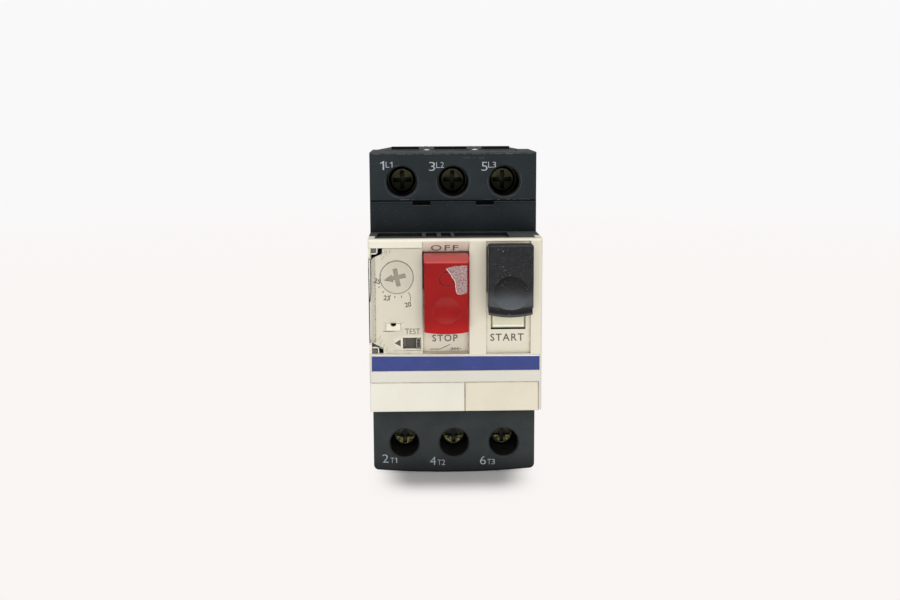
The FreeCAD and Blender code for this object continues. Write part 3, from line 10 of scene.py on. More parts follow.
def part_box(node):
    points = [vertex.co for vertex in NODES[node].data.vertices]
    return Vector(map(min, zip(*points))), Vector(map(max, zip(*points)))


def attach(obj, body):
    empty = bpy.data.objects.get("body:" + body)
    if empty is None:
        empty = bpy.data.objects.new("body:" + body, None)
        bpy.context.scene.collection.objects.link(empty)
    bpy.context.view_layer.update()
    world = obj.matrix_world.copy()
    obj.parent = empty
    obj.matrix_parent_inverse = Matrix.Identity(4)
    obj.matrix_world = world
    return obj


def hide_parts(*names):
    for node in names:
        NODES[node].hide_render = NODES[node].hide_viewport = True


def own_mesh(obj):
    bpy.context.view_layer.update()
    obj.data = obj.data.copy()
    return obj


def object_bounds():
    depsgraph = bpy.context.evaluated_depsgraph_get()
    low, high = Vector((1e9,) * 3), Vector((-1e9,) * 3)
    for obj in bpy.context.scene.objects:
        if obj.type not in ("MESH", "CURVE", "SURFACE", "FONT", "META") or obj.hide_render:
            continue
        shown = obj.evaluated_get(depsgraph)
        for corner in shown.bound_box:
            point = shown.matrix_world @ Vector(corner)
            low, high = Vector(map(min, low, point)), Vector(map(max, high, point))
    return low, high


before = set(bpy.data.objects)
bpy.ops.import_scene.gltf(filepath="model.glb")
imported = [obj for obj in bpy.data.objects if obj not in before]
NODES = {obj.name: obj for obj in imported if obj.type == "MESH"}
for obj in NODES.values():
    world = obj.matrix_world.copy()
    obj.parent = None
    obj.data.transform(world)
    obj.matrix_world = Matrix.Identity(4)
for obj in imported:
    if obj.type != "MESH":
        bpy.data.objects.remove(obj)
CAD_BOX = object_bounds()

MM = 0.001
POLES = (1, 2, 3)
TERMINALS = (1, 2, 3, 4, 5, 6)

# Camera, placed so that the outlines fall where the photograph has them: mm and degrees
CAMERA_AT = (-8.9, -353.6, 54.8)
CAMERA_PITCH = 9.35
CAMERA_YAW = 1.47
CAMERA_ROLL = -0.26
CAMERA_LENS = 46.16
CAMERA_NEAR = 10.0
SENSOR_WIDTH = 36.0

# Studio: metres, watts and linear colours
BACKDROP = (0.955, 0.945, 0.948, 1.0)
FLOOR_GLOW = (0.953, 0.915, 0.895, 1.0)
FLOOR_DARK = (0.93, 0.915, 0.905, 1.0)
FLOOR_LIGHT = (0.945, 0.93, 0.92, 1.0)
FLOOR_SIZE = 4.0
FLOOR_CELLS = 8
HORIZON = (0.15, 1.0)
SHADOW_AHEAD = (0.003, 0.026)
SHADOW_ACROSS = (0.010, 0.026)
SHADOW_LEAST = 0.09
SKY_TINT = (1.0, 0.985, 0.97, 1.0)
SKY_LIGHT = 0.36
LAMP_TARGET = (0, -0.04, 0)
# A lamp has its name, place, size and power, and whether mirrors show it
LAMPS = (
    ("overhead", (0.0, -0.12, 0.75), (0.7, 0.5), 3.4, True),
    ("front", (0.03, -0.84, 0.14), (0.5, 0.32), 3.35, False),
)

# Upright planes that carry print and marks, read from the solids: metres
COVER_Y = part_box("front_cover")[0].y
BLOCK_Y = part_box("upper_terminal_block")[0].y
STOP_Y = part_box("stop_button")[0].y
CLEAR_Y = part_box("clear_cover")[0].y
NUB_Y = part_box("test_slider")[0].y
RIVET_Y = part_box("case_rivets")[0].y
NOTCH_Y = BLOCK_Y + 1.55 * MM
ZONE_Y = COVER_Y + 1.6 * MM
SEAL_Y = ZONE_Y - 0.7 * MM
DIAL_SLOT_Y = ZONE_Y + 0.4 * MM
HINGE_Y = ZONE_Y + 0.5 * MM
TEST_PLATE_Y = ZONE_Y + 0.92 * MM
WINDOW_Y = ZONE_Y + 0.93 * MM
STOP_FLOOR_Y = COVER_Y + 4.0 * MM
START_FLOOR_Y = COVER_Y + 1.2 * MM
TAB_Y = START_FLOOR_Y + 0.03 * MM
TAB_GAP_Y = START_FLOOR_Y + 0.3 * MM
PLATE_GAP_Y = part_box("aux_contact_cover")[0].y + 0.3 * MM

# From here to the colours, sizes are in mm and places are (across from the middle, up)
# A line is its width and the points that it runs through
# An arc is its ends in degrees and its steps

# Marks beside the screw holes: places of figure and letter from the middle of the hole
MARK_PLACES = {
    1: ((-5.7, 3.15), (-4.2, 3.8)),
    3: ((-6.4, 2.85), (-4.5, 3.65)),
    5: ((-6.15, 2.8), (-4.35, 3.65)),
    2: ((-6.15, -5.5), (-3.95, -5.6)),
    4: ((-6.7, -6.3), (-4.6, -6.35)),
    6: ((-6.55, -6.3), (-4.5, -6.3)),
}
FIGURE_SIZE = (1.62, 2.35)
LETTER_SIZE = (0.98, 1.5)
LETTER_STEP = (1.1, 0)
MARK_WEIGHT = -0.012
ONE_STEM = [(0.3, 0), (0.46, 0), (0.46, 1), (0.36, 1)]
ONE_FLAG = [(0.26, 0.9), (0.04, 0.82), (0.04, 0.71), (0.3, 0.76)]

# Words: plane, ink, and left, low, height, width, weight, spacing, turn in radians; OFF is on a ramp
PRINT_PROUD = 0.012
LINE_PROUD = 0.005
WORD_SPACING = 1.2
RAMP_TOP = 21.9
OFF_WORD = (-6.24, -3.68, 2.25, 7.05, 0.008, WORD_SPACING)
WORDS = {
    "word_stop": ("STOP", STOP_FLOOR_Y, "ink_grey", (-5.99, -4.75, 1.85, 6.6, 0.014, WORD_SPACING)),
    "word_start": ("START", START_FLOOR_Y, "ink_dark", (8.97, -4.18, 1.95, 8.64, 0.014, WORD_SPACING)),
    "word_test": ("TEST", ZONE_Y, "ink_grey", (-13.01, -2.21, 1.5, 3.83)),
    "scale_high": ("25", ZONE_Y, "ink_dark", (-20.95, 11.35, 1.3, 1.65, 0.03, 1.0, -0.35)),
    "scale_middle": ("23", ZONE_Y, "ink_dark", (-18.5, 6.75, 1.3, 1.65, 0.03, 1.0, -0.12)),
    "scale_low": ("20", ZONE_Y, "ink_dark", (-12.85, 4.75, 1.3, 1.65, 0.03, 1.0, 0.2)),
}

# Signs under STOP and beside TEST
SWITCH_SIGN = (
    (0.17, (-6.6, -6.75), (-3.95, -6.75), (-1.3, -5.5)),
    (0.15, (-1.45, -6.72), (1.55, -6.72)),
    (0.18, (-1.0, -6.3), (-0.4, -6.72), (-1.0, -7.14)),
    (0.18, (0.85, -6.3), (0.25, -6.72), (0.85, -7.14)),
    (0.2, (-0.08, -6.3), (-0.08, -7.14)),
)
TEST_ARROW = ((-15.75, -4.59), (-14.17, -5.5), (-14.17, -3.6))

# Setting dial: its cross slot, and the ticks of the scale round it
DIAL_SLOT = (2.28, 0.53)
DIAL_ARROW = (3.25, 0.98)
DIAL_TURN = 12.0
TICK_DEGREES = (209, 227, 250, 264, 283)
TICK_REACH = (4.85, 5.45)
TICK_WIDTH = 0.2
SCALE_END = (0.18, (-12.1, 8.75), (-11.65, 8.1), (-11.52, 7.4), (-11.64, 6.4))

# Test slide: the ring round its nub and the ticks beside it
TEST_NUB = (-10.05, -9.03)
TEST_RING_Z = (-5.9, -3.3)
TEST_CORNER = 0.3
TEST_RING_WIDTH = 0.17
TEST_TICKS = 6
TEST_TICK_AT = (-13.45, -5.55)
TEST_TICK_RUN = (0.55, 0.22)
TEST_TICK_STEP = 0.42
TEST_TICK_WIDTH = 0.1

# STOP: painted highlight on the dimple rim, bright foot, painted highlight on the fold under its upper
# slope, and torn rest of a sticker
DIMPLE_RISE = 6.0
DIMPLE_R = 3.4
DIMPLE_ARC = (165, 345, 30)
DIMPLE_LINE = 0.12
DIMPLE_PROUD = 0.004
STOP_FOOT = (0.5, 3.5)
STOP_FOLD_HIGHLIGHT = (0.45, 0.25)
FACE_DEPTH = 0.05
STICKER_CORNERS = [(-2.62, 15.87), (-0.2, 16.4), (2.72, 16.58), (2.72, 9.6), (1.08, 9.06)]
STICKER_CORNERS += [(0.13, 9.57), (-0.28, 12.3), (-1.31, 14.4)]
STICKER_RIGHT = 2.78
STICKER_STEP = 0.3
STICKER_RAGGED = 0.09
STICKER_PROUD = 0.05
TORN_STEPS = 24
TORN_WIDTH = 0.13
TORN_PROUD = 0.056

# START: bow of its lower edge, dust and painted light below its middle, a painted shadow under its lip and
# painted light on its rim over that edge, and its tab
START_BOW = 0.7
START_PALE_BELOW = (-4.8, -1.6)
START_LIP_SHADOW = (0.5, 0.75, 1.35, 1.75)
START_RIM_LIT = (0.45, 0.7)
TAB_HALF = 4.0
TAB_EDGE_Z = (-0.38, 0.1)
TAB_GAP_HALF = 4.45
TAB_GAP_Z = (-1.08, -0.74)
GAP_PROUD = 0.02

# Clear cover: openings in its left corners, painted as shade, with the ends of the hinge, and its
# scratches and dirt
CORNER_WINDOWS = (
    ((-21.53, 20.28), (-18.62, 20.28), (-18.62, 18.8), (-21.53, 17.35)),
    ((-21.53, -7.28), (-18.62, -7.28), (-18.62, -5.8), (-21.53, -4.35)),
)
WINDOW_PROUD = 0.03
HINGE_ENDS = (
    ((-21.5, 20.2), (-20.2, 20.2), (-20.2, 18.95), (-21.5, 18.8)),
    ((-21.5, -7.2), (-20.25, -7.2), (-20.25, -6.3), (-21.5, -6.1)),
)
HINGE_END_PROUD = 0.36
HINGE_RIMS = (
    (0.3, (-20.0, 20.25), (-20.0, 18.95), (-20.25, 18.75), (-21.5, 18.62)),
    (0.3, (-19.92, -7.25), (-19.95, -6.1), (-20.3, -5.75), (-21.5, -5.8)),
)
HINGE_RIM_PROUD = 0.4
LEG_SHADES = (
    (0.22, (-21.58, 17.3), (-21.55, 13.0), (-21.62, 9.0), (-21.9, 6.5)),
    (0.15, (-22.1, 15.2), (-22.12, 9.5), (-22.04, 6.5), (-22.02, -4.2)),
)
LEG_GLINTS = (
    (0.2, (-21.86, 16.6), (-21.84, 14.8), (-21.9, 12.5)),
    (0.12, (-21.84, 5.8), (-21.8, 2.0), (-21.82, -4.0)),
)
# A scratch has the place of its upper end, its fall, and its lean to the left per mm of fall
SCRATCH_WIDTH = 0.07
SCRATCHES = (
    (-18.6, 19.8, 1.7, 0.2), (-17.9, 19.9, 1.1, 0.25), (-17.4, 19.8, 1.4, 0.22),
    (-16.5, 19.9, 0.9, 0.3), (-18.2, 18.3, 1.0, 0.6), (-19.3, -2.4, 1.1, 0.5),
    (-18.9, -3.4, 1.2, 0.55), (-18.3, -4.5, 1.3, 0.3), (-17.5, -5.2, 1.2, 0.35),
)
DIRT_X = -20.55
DIRT_Z = (14.8, -3.0)
DIRT_STRAY = 0.14
DIRT_LEAN = 0.1
DIRT_DASH = (0.25, 0.7)
DIRT_GAP = (0.15, 0.6)
DIRT_WIDTH = (0.06, 0.13)

# Painted shade in gaps: latch notches, seam under the upper block, sealing hole, and beside the blanking
# cover
NOTCH_X = 8.455
NOTCH_HALF = 2.2
NOTCH_Z = (29.75, 30.85)
SEAM_HALF = 22.1
SEAM_Z = (30.77, 31.0)
SEAL_AT = (-15.94, 0.74)
SEAL_R = 0.72
SEAL_ARC = (180, 360, 12)
PLATE_GAP_HALF = 0.2
PLATE_GAP_LAP = 0.05
PLATE_GAP_RISE = 0.1

# Rub marks, a painted highlight along the top front edge, and lit edges of the dark blocks: from and to
# across, height, width
SCUFF_ROWS = (
    # The first row is a painted highlight along the top front edge; the rest are rub marks
    (-21.3, 21.3, 43.3, 0.1),
    (-14.2, -10.6, 31.2, 0.13),
    (8.2, 20.5, 31.18, 0.1),
    (2.8, 8.4, 42.2, 0.07),
    (-16.0, -14.2, 40.2, 0.09),
)
SCUFF_LENGTH = (0.5, 2.6)
SCUFF_GAP = (0.2, 1.6)
SCUFF_STRAY = 0.05
SCUFF_THICK = (0.6, 1.2)
SCUFF_PROUD = 0.006
LIT_ROWS = (
    (-22.0, -10.9, 30.6, 0.08),
    (-6.1, 6.1, 30.6, 0.08),
    (10.9, 22.0, 30.6, 0.08),
    (-10.8, -6.1, 29.6, 0.11),
    (6.1, 10.8, 29.6, 0.11),
)
HOLE_RIM = 4.5
HOLE_RIM_ARC = (170, 390, 26)
HOLE_RIM_WIDTH = 0.11

# Rivets, springs and screws; a spring has its turns, the way it is pushed and the joint that does so
RIVET_AT = ((-6.85, 41.8), (6.85, 41.8))
RIVET_RIM = (1.6, 0.45)
RIM_STEPS = 28
RIM_BENDS = 6
SPRING_WIRE = 0.7
SPRING_STEPS = 24
SPRING_SIDES = 8
SPRINGS = {
    "start_spring": (6, Vector((0, 1, 0)), "start_push"),
    "stop_spring": (6, Vector((0, 1, 0)), "stop_push"),
    "din_clip_spring": (8, Vector((0, 0, -1)), "din_clip_pull"),
}
# Painted shadow over the lower half of the upper screw heads, and a painted glint in a ring round the
# slots of the lower ones
SCREW_SHADE_UNEVEN = 1.4
SCREW_SHADE_LINE = (-0.6, 1.6)
SCREW_GLINT_RING = (1.1, 1.5, 2.4, 2.8)
SCREW_GLINT_LOWER = (0, 0.5)

# Cover and label: where the cover turns darker and yellower to the right, the painted shade at its foot,
# its sunk zone, and the edge of the film
RIGHT_X = (-20, 20)
FOOT_SHADE_Z = (-14, -4)
ZONE_STEP = (0.4, 1.2)
ZONE_EDGE = (0, 0.2)
FILM_TILT = 0.006
FILM_EDGE = (-0.06, -0.01)

# Colours as the eye sees them, in 8-bit sRGB
ANTHRACITE = (38, 44, 47)
# Lighter copy of the anthracite for the lower block: painted light from the floor
ANTHRACITE_LOW_LIT = (53, 58, 59)
CASING = (35, 41, 44)
# Painted shade deep in holes and vents; rub marks; dirt and painted shade in corners
HOLE_SHADE = (7, 8, 8)
VENT_SHADE = (15, 18, 19)
BLOCK_SCUFF = (104, 110, 112)
BLOCK_GRIME_AND_SHADE = (20, 22, 23)
DUST = (150, 150, 144)
# Painted shade on the screws: in their slots and over their heads
SCREW_SHADE_DARK = (18, 17, 14)
SCREW_SHADOW = (34, 36, 30)
CREAM = (226, 222, 205)
CREAM_RIGHT = (222, 216, 197)
# Painted shade at the foot of the cover; then the sunk zone; then painted light on the ramp
CREAM_FOOT_SHADE = (214, 211, 200)
ZONE_CREAM = (231, 225, 207)
RAMP_LIGHT = (246, 247, 230)
RED = (144, 20, 20)
# Darker in corners; painted light on top; painted reflection below; wear and painted highlight on edges;
# painted highlight on the fold
RED_CORNER_DARK = (70, 12, 16)
RED_TOP_LIGHT = (196, 112, 104)
RED_UNDER_REFLECTION = (150, 92, 84)
RED_EDGE_WEAR_LIGHT = (205, 96, 92)
RED_FOLD_HIGHLIGHT = (222, 92, 86)
RED_MARKS = (205, 130, 126)
CHARCOAL = (24, 25, 27)
CHARCOAL_HAZE = (36, 37, 40)
# Painted shade under START, in the shadow of its lip and in its corners
CHARCOAL_UNDER_SHADE = (7, 7, 8)
CHARCOAL_LIP_SHADOW = (8, 8, 9)
CHARCOAL_CORNER_SHADE = (6, 6, 7)
CHARCOAL_RUBBED = (96, 98, 101)
CHARCOAL_SPECK = (150, 152, 156)
# Dust and painted light below the middle of START, and painted light on its rim
START_DUST_AND_LIGHT = (98, 102, 106)
RIM_PAINTED_LIGHT = (97, 95, 84)
BLUE = (51, 64, 126)
BLUE_RUBBED = (150, 158, 205)
FILM_WHITE = (236, 236, 234)
CLEAR_TINT = (252, 252, 250)
CLEAR_SCUFF = (246, 246, 242)
PAPER_GLUE = (140, 98, 100)
PAPER_FIBRE = (176, 162, 160)
PAPER_FLECK = (92, 54, 62)


def linear(colour, gain=1.0):
    """An 8-bit sRGB colour as a linear shader colour."""
    out = []
    for level in colour:
        share = level / 255
        value = share / 12.92 if share <= 0.04045 else ((share + 0.055) / 1.055) ** 2.4
        out.append(value * gain)
    return (*out, 1.0)


class Look:
    """One material under construction. Each call adds a node and gives back an output socket."""

    def __init__(self, name):
        self.material = bpy.data.materials.new(name)
        self.material.use_nodes = True
        self.tree = self.material.node_tree
        self.shader = self.tree.nodes["Principled BSDF"]
        self.place = self.node("TexCoord").outputs["Object"]
        self.x, self.y, self.z = self.node("SeparateXYZ", {"Vector": self.place}).outputs

    def node(self, kind, inputs=(), **settings):
        node = self.tree.nodes.new("ShaderNode" + kind)
        for key, value in settings.items():
            setattr(node, key, value)
        for key, value in dict(inputs).items():
            self.feed(node.inputs[key], value)
        return node

    def feed(self, socket, value):
        if isinstance(value, bpy.types.NodeSocket):
            self.tree.links.new(value, socket)
        else:
            socket.default_value = value

    def shade(self, **inputs):
        """Set inputs of the surface shader, with _ for the spaces in their names."""
        for key, value in inputs.items():
            self.feed(self.shader.inputs[key.replace("_", " ")], value)
        return self.material

    def plain(self, operation, *values):
        """Arithmetic on values of any size."""
        return self.node("Math", dict(enumerate(values)), operation=operation).outputs[0]

    def calc(self, operation, a, b):
        """Arithmetic on shares, kept between 0 and 1."""
        return self.node("Math", {0: a, 1: b}, operation=operation, use_clamp=True).outputs[0]

    def times(self, a, b):
        return self.calc("MULTIPLY", a, b)

    def vector(self, operation, *values):
        """Vector arithmetic; a length or a dot product is a number."""
        node = self.node("VectorMath", dict(enumerate(values)), operation=operation)
        return node.outputs["Value" if operation in ("LENGTH", "DOT_PRODUCT") else "Vector"]

    def mix(self, share, a, b):
        node = self.node("Mix", data_type="RGBA")
        for index, value in ((0, share), (6, a), (7, b)):
            self.feed(node.inputs[index], value)
        return node.outputs[2]

    def coat(self, paint, colour, share, amount=1.0):
        """Paint under a share of an 8-bit colour."""
        if amount != 1.0:
            share = self.times(share, amount)
        return self.mix(share, paint, linear(colour))

    def ramp(self, value, low, high, start=0.0, end=1.0):
        """Smooth step of a value from start at low to end at high."""
        inputs = {"Value": value, "From Min": low, "From Max": high, "To Min": start, "To Max": end}
        return self.node("MapRange", inputs, interpolation_type="SMOOTHSTEP").outputs["Result"]

    def span(self, value, base, reach, start=0.0, end=1.0):
        """Smooth step of a value between two distances in mm from a base."""
        return self.ramp(value, base + reach[0] * MM, base + reach[1] * MM, start, end)

    def band(self, value, start, full, fall, end):
        """1 between full and fall, smoothly down to 0 at start and end."""
        return self.times(self.ramp(value, start, full), self.ramp(value, fall, end, 1.0, 0.0))

    def noise(self, size, detail=3.0, rough=0.55, stretch=(1, 1, 1)):
        """Cloudy noise whose features are about size mm across."""
        place = self.node("Mapping", {"Vector": self.place, "Scale": stretch}).outputs["Vector"]
        inputs = {"Vector": place, "Scale": 1 / (size * MM), "Detail": detail, "Roughness": rough}
        return self.node("TexNoise", inputs).outputs["Fac"]

    def specks(self, size, radius, share):
        """Round specks in a share of cells of size mm, radius as a share of a cell."""
        cells = self.node("TexVoronoi", {"Vector": self.place, "Scale": 1 / (size * MM)})
        spot = self.ramp(cells.outputs["Distance"], radius * 0.5, radius, 1.0, 0.0)
        pick = self.node("SeparateColor", {"Color": cells.outputs["Color"]}).outputs[0]
        return self.times(spot, self.calc("LESS_THAN", pick, share))

    def edges(self, radius):
        """1 along the edges of the shape, 0 on its open faces."""
        soft = self.node("Bevel", {"Radius": radius * MM}, samples=6).outputs["Normal"]
        true = self.node("NewGeometry").outputs["True Normal"]
        return self.ramp(self.vector("DOT_PRODUCT", soft, true), 0.78, 0.985, 1.0, 0.0)

    def crevice(self, distance):
        """1 in tight corners, 0 in the open."""
        light = self.node("AmbientOcclusion", {"Distance": distance * MM}, samples=6).outputs["AO"]
        return self.ramp(light, 0.35, 0.95, 1.0, 0.0)

    def tilt(self, low, high):
        """Smooth step of how far a surface faces up, where -1 is down and 1 is up."""
        normal = self.node("NewGeometry").outputs["Normal"]
        return self.ramp(self.node("SeparateXYZ", {"Vector": normal}).outputs["Z"], low, high)

    def relief(self, height, depth, edge=0.0):
        """Shading normal of a surface with this height pattern, depth mm deep, and softened edges."""
        inputs = {"Height": height, "Distance": depth * MM, "Strength": 1.0}
        if edge:
            inputs["Normal"] = self.node("Bevel", {"Radius": edge * MM}, samples=6).outputs["Normal"]
        return self.node("Bump", inputs).outputs["Normal"]


def moulded(
    name, colour, rough, shine, tone, tint=None, shade_in_holes=None, corner_dirt_and_shade=None, corner_amount=0.6, wear=None, dust=0.0
):
    """Moulded plastic: drifting tone, fine eroded grain, rubbed edges, dirt and painted shade in corners,
    and settled dust.

    tint repaints parts of it; it also takes the colour of the painted shade deep inside its holes, and the
    colour and strength of the dirt and painted shade in its corners.
    """
    look = Look(name)
    drift = look.ramp(look.noise(9.0, 4.0), 0.35, 0.65)
    paint = look.mix(drift, linear(colour, 1 - tone), linear(colour, 1 + tone))
    if tint:
        paint = tint(look, paint)
    # Painted shade deep inside holes and vents, from ambient occlusion
    if shade_in_holes:
        paint = look.coat(paint, shade_in_holes, look.crevice(9.0))
    # Dirt and painted shade in tight corners, patchy by noise
    if corner_dirt_and_shade:
        dirt = look.times(look.crevice(0.9), look.ramp(look.noise(1.4), 0.25, 0.8))
        paint = look.coat(paint, corner_dirt_and_shade, dirt, corner_amount)
    if wear:
        rub = look.times(look.edges(0.22), look.ramp(look.noise(1.1), 0.42, 0.7))
        scratch = look.ramp(look.noise(0.16, 2.0, 0.5, (0.03, 1, 1.4)), 0.71, 0.78)
        rub = look.calc("MAXIMUM", rub, look.times(scratch, 0.25))
        paint = look.coat(paint, wear, rub, 0.5)
    if dust:
        film = look.times(look.tilt(0.3, 0.95), look.ramp(look.noise(1.2, 6.0, 0.7), 0.0, 1.1))
        fleck = look.specks(0.55, 0.16, 0.18)
        paint = look.coat(paint, DUST, look.calc("MAXIMUM", film, fleck), dust)
    sheen = look.ramp(look.noise(3.0, 4.0), 0.3, 0.7, rough - 0.06, rough + 0.06)
    normal = look.relief(look.noise(0.11, 2.0), 0.012, 0.12)
    return look.shade(Base_Color=paint, Roughness=sheen, Normal=normal, Specular_IOR_Level=shine)


def cover_tint(look, paint):
    """Tints of the front cover: darker and yellower to the right, painted shade at its foot, pale in its
    sunk zone, and painted light on the ramp and other faces turned down.
    """
    paint = look.coat(paint, CREAM_RIGHT, look.span(look.x, 0, RIGHT_X))
    # Painted shade at the foot of the cover
    paint = look.coat(paint, CREAM_FOOT_SHADE, look.span(look.z, 0, FOOT_SHADE_Z, 1.0, 0.0))
    sunk = look.span(look.y, COVER_Y, ZONE_STEP)
    left = look.span(look.x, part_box("clear_cover")[1].x, ZONE_EDGE, 1.0, 0.0)
    paint = look.coat(paint, ZONE_CREAM, look.times(sunk, left))
    # Painted light on the OFF ramp and other faces turned down
    return look.mix(look.tilt(-0.6, -0.4), linear(RAMP_LIGHT), paint)


def height_over_bow(look, low, high):
    """Height in mm over the lower edge of START, which is bowed down in the middle."""
    offset = look.plain("SUBTRACT", look.x, (low.x + high.x) / 2)
    share = look.plain("DIVIDE", offset, (high.x - low.x) / 2)
    bow = look.plain("MULTIPLY", look.plain("MULTIPLY", share, share), START_BOW)
    above = look.plain("SUBTRACT", look.z, low.z)
    return look.plain("SUBTRACT", look.plain("DIVIDE", above, MM), bow)


def start_plastic(name):
    """Charcoal plastic with white specks in its grain: dust and painted light below its middle, painted
    shade where it faces down and in corners, a painted shadow under its lip and painted light on its rim.
    """
    look = Look(name)
    low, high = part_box("start_button")
    haze = look.ramp(look.noise(2.2, 5.0, 0.65), 0.32, 0.72)
    paint = look.mix(haze, linear(CHARCOAL), linear(CHARCOAL_HAZE))
    # Dust and painted light over the lower half of its face
    pale_below = look.span(look.z, (low.z + high.z) / 2, START_PALE_BELOW, 1.0, 0.0)
    paint = look.coat(paint, START_DUST_AND_LIGHT, pale_below, 0.42)
    paint = look.coat(paint, START_DUST_AND_LIGHT, look.times(look.tilt(0.02, 0.45), pale_below), 0.6)
    # Painted shade on faces turned down
    paint = look.mix(look.tilt(-0.5, -0.05), linear(CHARCOAL_UNDER_SHADE), paint)
    height = height_over_bow(look, low, high)
    # Painted shadow under the lip
    paint = look.coat(paint, CHARCOAL_LIP_SHADOW, look.band(height, *START_LIP_SHADOW), 0.95)
    # Painted light on the rim under the lip
    paint = look.mix(look.ramp(height, *START_RIM_LIT, 0.3, 0.0), paint, linear(RIM_PAINTED_LIGHT, 0.6))
    # Painted shade in tight corners
    paint = look.coat(paint, CHARCOAL_CORNER_SHADE, look.crevice(1.2), 0.9)
    fine = look.times(look.specks(0.22, 0.3, 0.24), 0.42)
    coarse = look.times(look.specks(0.6, 0.2, 0.24), 0.8)
    paint = look.coat(paint, CHARCOAL_SPECK, look.calc("MAXIMUM", fine, coarse))
    rub = look.times(look.edges(0.3), look.ramp(look.noise(0.9), 0.4, 0.7))
    paint = look.coat(paint, CHARCOAL_RUBBED, rub, 0.45)
    sheen = look.ramp(haze, 0.0, 1.0, 0.4, 0.54)
    normal = look.relief(look.noise(0.16, 3.0), 0.016, 0.7)
    return look.shade(Base_Color=paint, Roughness=sheen, Normal=normal, Specular_IOR_Level=0.3)


def stop_plastic(name):
    """Satin red plastic with hair-fine scratches, lighter at its foot and darker in tight corners such as
    the ring, with painted light where it faces up, a painted reflection where it faces down, wear and
    painted highlights on its edges, and a painted highlight on its fold.
    """
    look = Look(name)
    drift = look.ramp(look.noise(5.0, 4.0), 0.3, 0.7)
    paint = look.mix(drift, linear(RED, 0.95), linear(RED, 1.06))
    bright = look.span(look.z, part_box("stop_button")[0].z, STOP_FOOT, 1.0, 0.0)
    paint = look.mix(bright, paint, linear(RED, 1.4))
    # Darker in tight corners such as the ring
    paint = look.coat(paint, RED_CORNER_DARK, look.crevice(0.5), 0.55)
    # Painted light on faces turned up
    paint = look.coat(paint, RED_TOP_LIGHT, look.tilt(0.06, 0.7), 0.24)
    # Painted reflection on faces turned down
    paint = look.coat(paint, RED_UNDER_REFLECTION, look.ramp(look.tilt(-0.3, -0.02), 0.0, 1.0, 0.12, 0.0))
    # Wear and painted highlight along the edges
    rub = look.times(look.edges(0.25), look.ramp(look.noise(1.3), 0.3, 0.6, 0.15, 0.5))
    paint = look.coat(paint, RED_EDGE_WEAR_LIGHT, rub)
    front = [v.co.z for v in NODES["stop_button"].data.vertices if v.co.y < STOP_Y + FACE_DEPTH * MM]
    fold = max(front)
    # Painted highlight along the fold under the upper slope
    line = look.band(look.z, fold - STOP_FOLD_HIGHLIGHT[0] * MM, fold, fold, fold + STOP_FOLD_HIGHLIGHT[1] * MM)
    paint = look.coat(paint, RED_FOLD_HIGHLIGHT, line, 0.55)
    scratch = look.ramp(look.noise(0.12, 2.0, 0.5, (1, 1, 0.04)), 0.7, 0.78)
    marks = look.calc("MAXIMUM", scratch, look.specks(0.8, 0.1, 0.12))
    paint = look.coat(paint, RED_MARKS, marks, 0.22)
    sheen = look.ramp(look.noise(2.0, 4.0), 0.3, 0.7, 0.3, 0.44)
    normal = look.relief(look.noise(0.1, 2.0), 0.006, 0.2)
    return look.shade(Base_Color=paint, Roughness=sheen, Normal=normal, Specular_IOR_Level=0.16)


def label_film(name):
    """Bare blue film: white carrier along its slightly tilted upper edge, and light rub marks."""
    look = Look(name)
    low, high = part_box("name_label")
    tilt = look.times(look.calc("ADD", look.x, -low.x), FILM_TILT)
    height = look.plain("ADD", look.z, tilt)
    drift = look.ramp(look.noise(4.0, 4.0), 0.3, 0.7)
    paint = look.mix(drift, linear(BLUE, 0.94), linear(BLUE, 1.08))
    rub = look.ramp(look.noise(0.35, 4.0, 0.6, (0.25, 1, 1)), 0.66, 0.78)
    paint = look.coat(paint, BLUE_RUBBED, rub, 0.35)
    paint = look.coat(paint, FILM_WHITE, look.span(height, high.z, FILM_EDGE))
    sheen = look.ramp(drift, 0.0, 1.0, 0.34, 0.46)
    normal = look.relief(look.noise(0.5, 2.0), 0.004)
    return look.shade(Base_Color=paint, Roughness=sheen, Normal=normal, Specular_IOR_Level=0.4)


def clear_plastic(name):
    """Clear moulded plastic with faint scuffs."""
    look = Look(name)
    scuff = look.ramp(look.noise(0.2, 4.0, 0.6, (1, 1, 0.2)), 0.6, 0.8)
    tint = look.mix(scuff, linear(CLEAR_TINT), linear(CLEAR_SCUFF))
    sheen = look.ramp(scuff, 0.0, 1.0, 0.03, 0.16)
    normal = look.relief(look.noise(2.5, 2.0), 0.01)
    look.shade(Transmission_Weight=1.0, IOR=1.46)
    return look.shade(Base_Color=tint, Roughness=sheen, Normal=normal)


def upper_grease(look, paint, low, high):
    """Painted shadow on an upper screw: the lower half of its head is black."""
    uneven = look.ramp(look.noise(1.5, 4.0), 0.0, 1.0, -SCREW_SHADE_UNEVEN * MM, SCREW_SHADE_UNEVEN * MM)
    height = look.plain("ADD", look.z, uneven)
    head_shadow = look.span(height, (low.z + high.z) / 2, SCREW_SHADE_LINE, 0.97, 0.25)
    return look.coat(paint, SCREW_SHADOW, head_shadow)


def lower_grease(look, paint, low, high):
    """Painted glint on a lower screw: bright only in a ring round its cross slot, and painted shade
    elsewhere.
    """
    middle = (low + high) / 2
    offset = look.vector("SUBTRACT", look.place, middle)
    away = look.vector("LENGTH", look.vector("MULTIPLY", offset, (1, 0, 1)))
    ring = look.band(look.plain("DIVIDE", away, MM), *SCREW_GLINT_RING)
    # Painted glint in a ring round the cross slot
    bare = look.times(ring, look.ramp(look.noise(0.9, 4.0), 0.38, 0.68))
    lower = look.span(look.z, middle.z, SCREW_GLINT_LOWER, 1.0, 0.2)
    return look.mix(look.times(bare, lower), linear(SCREW_SHADE_DARK, 0.35), paint)


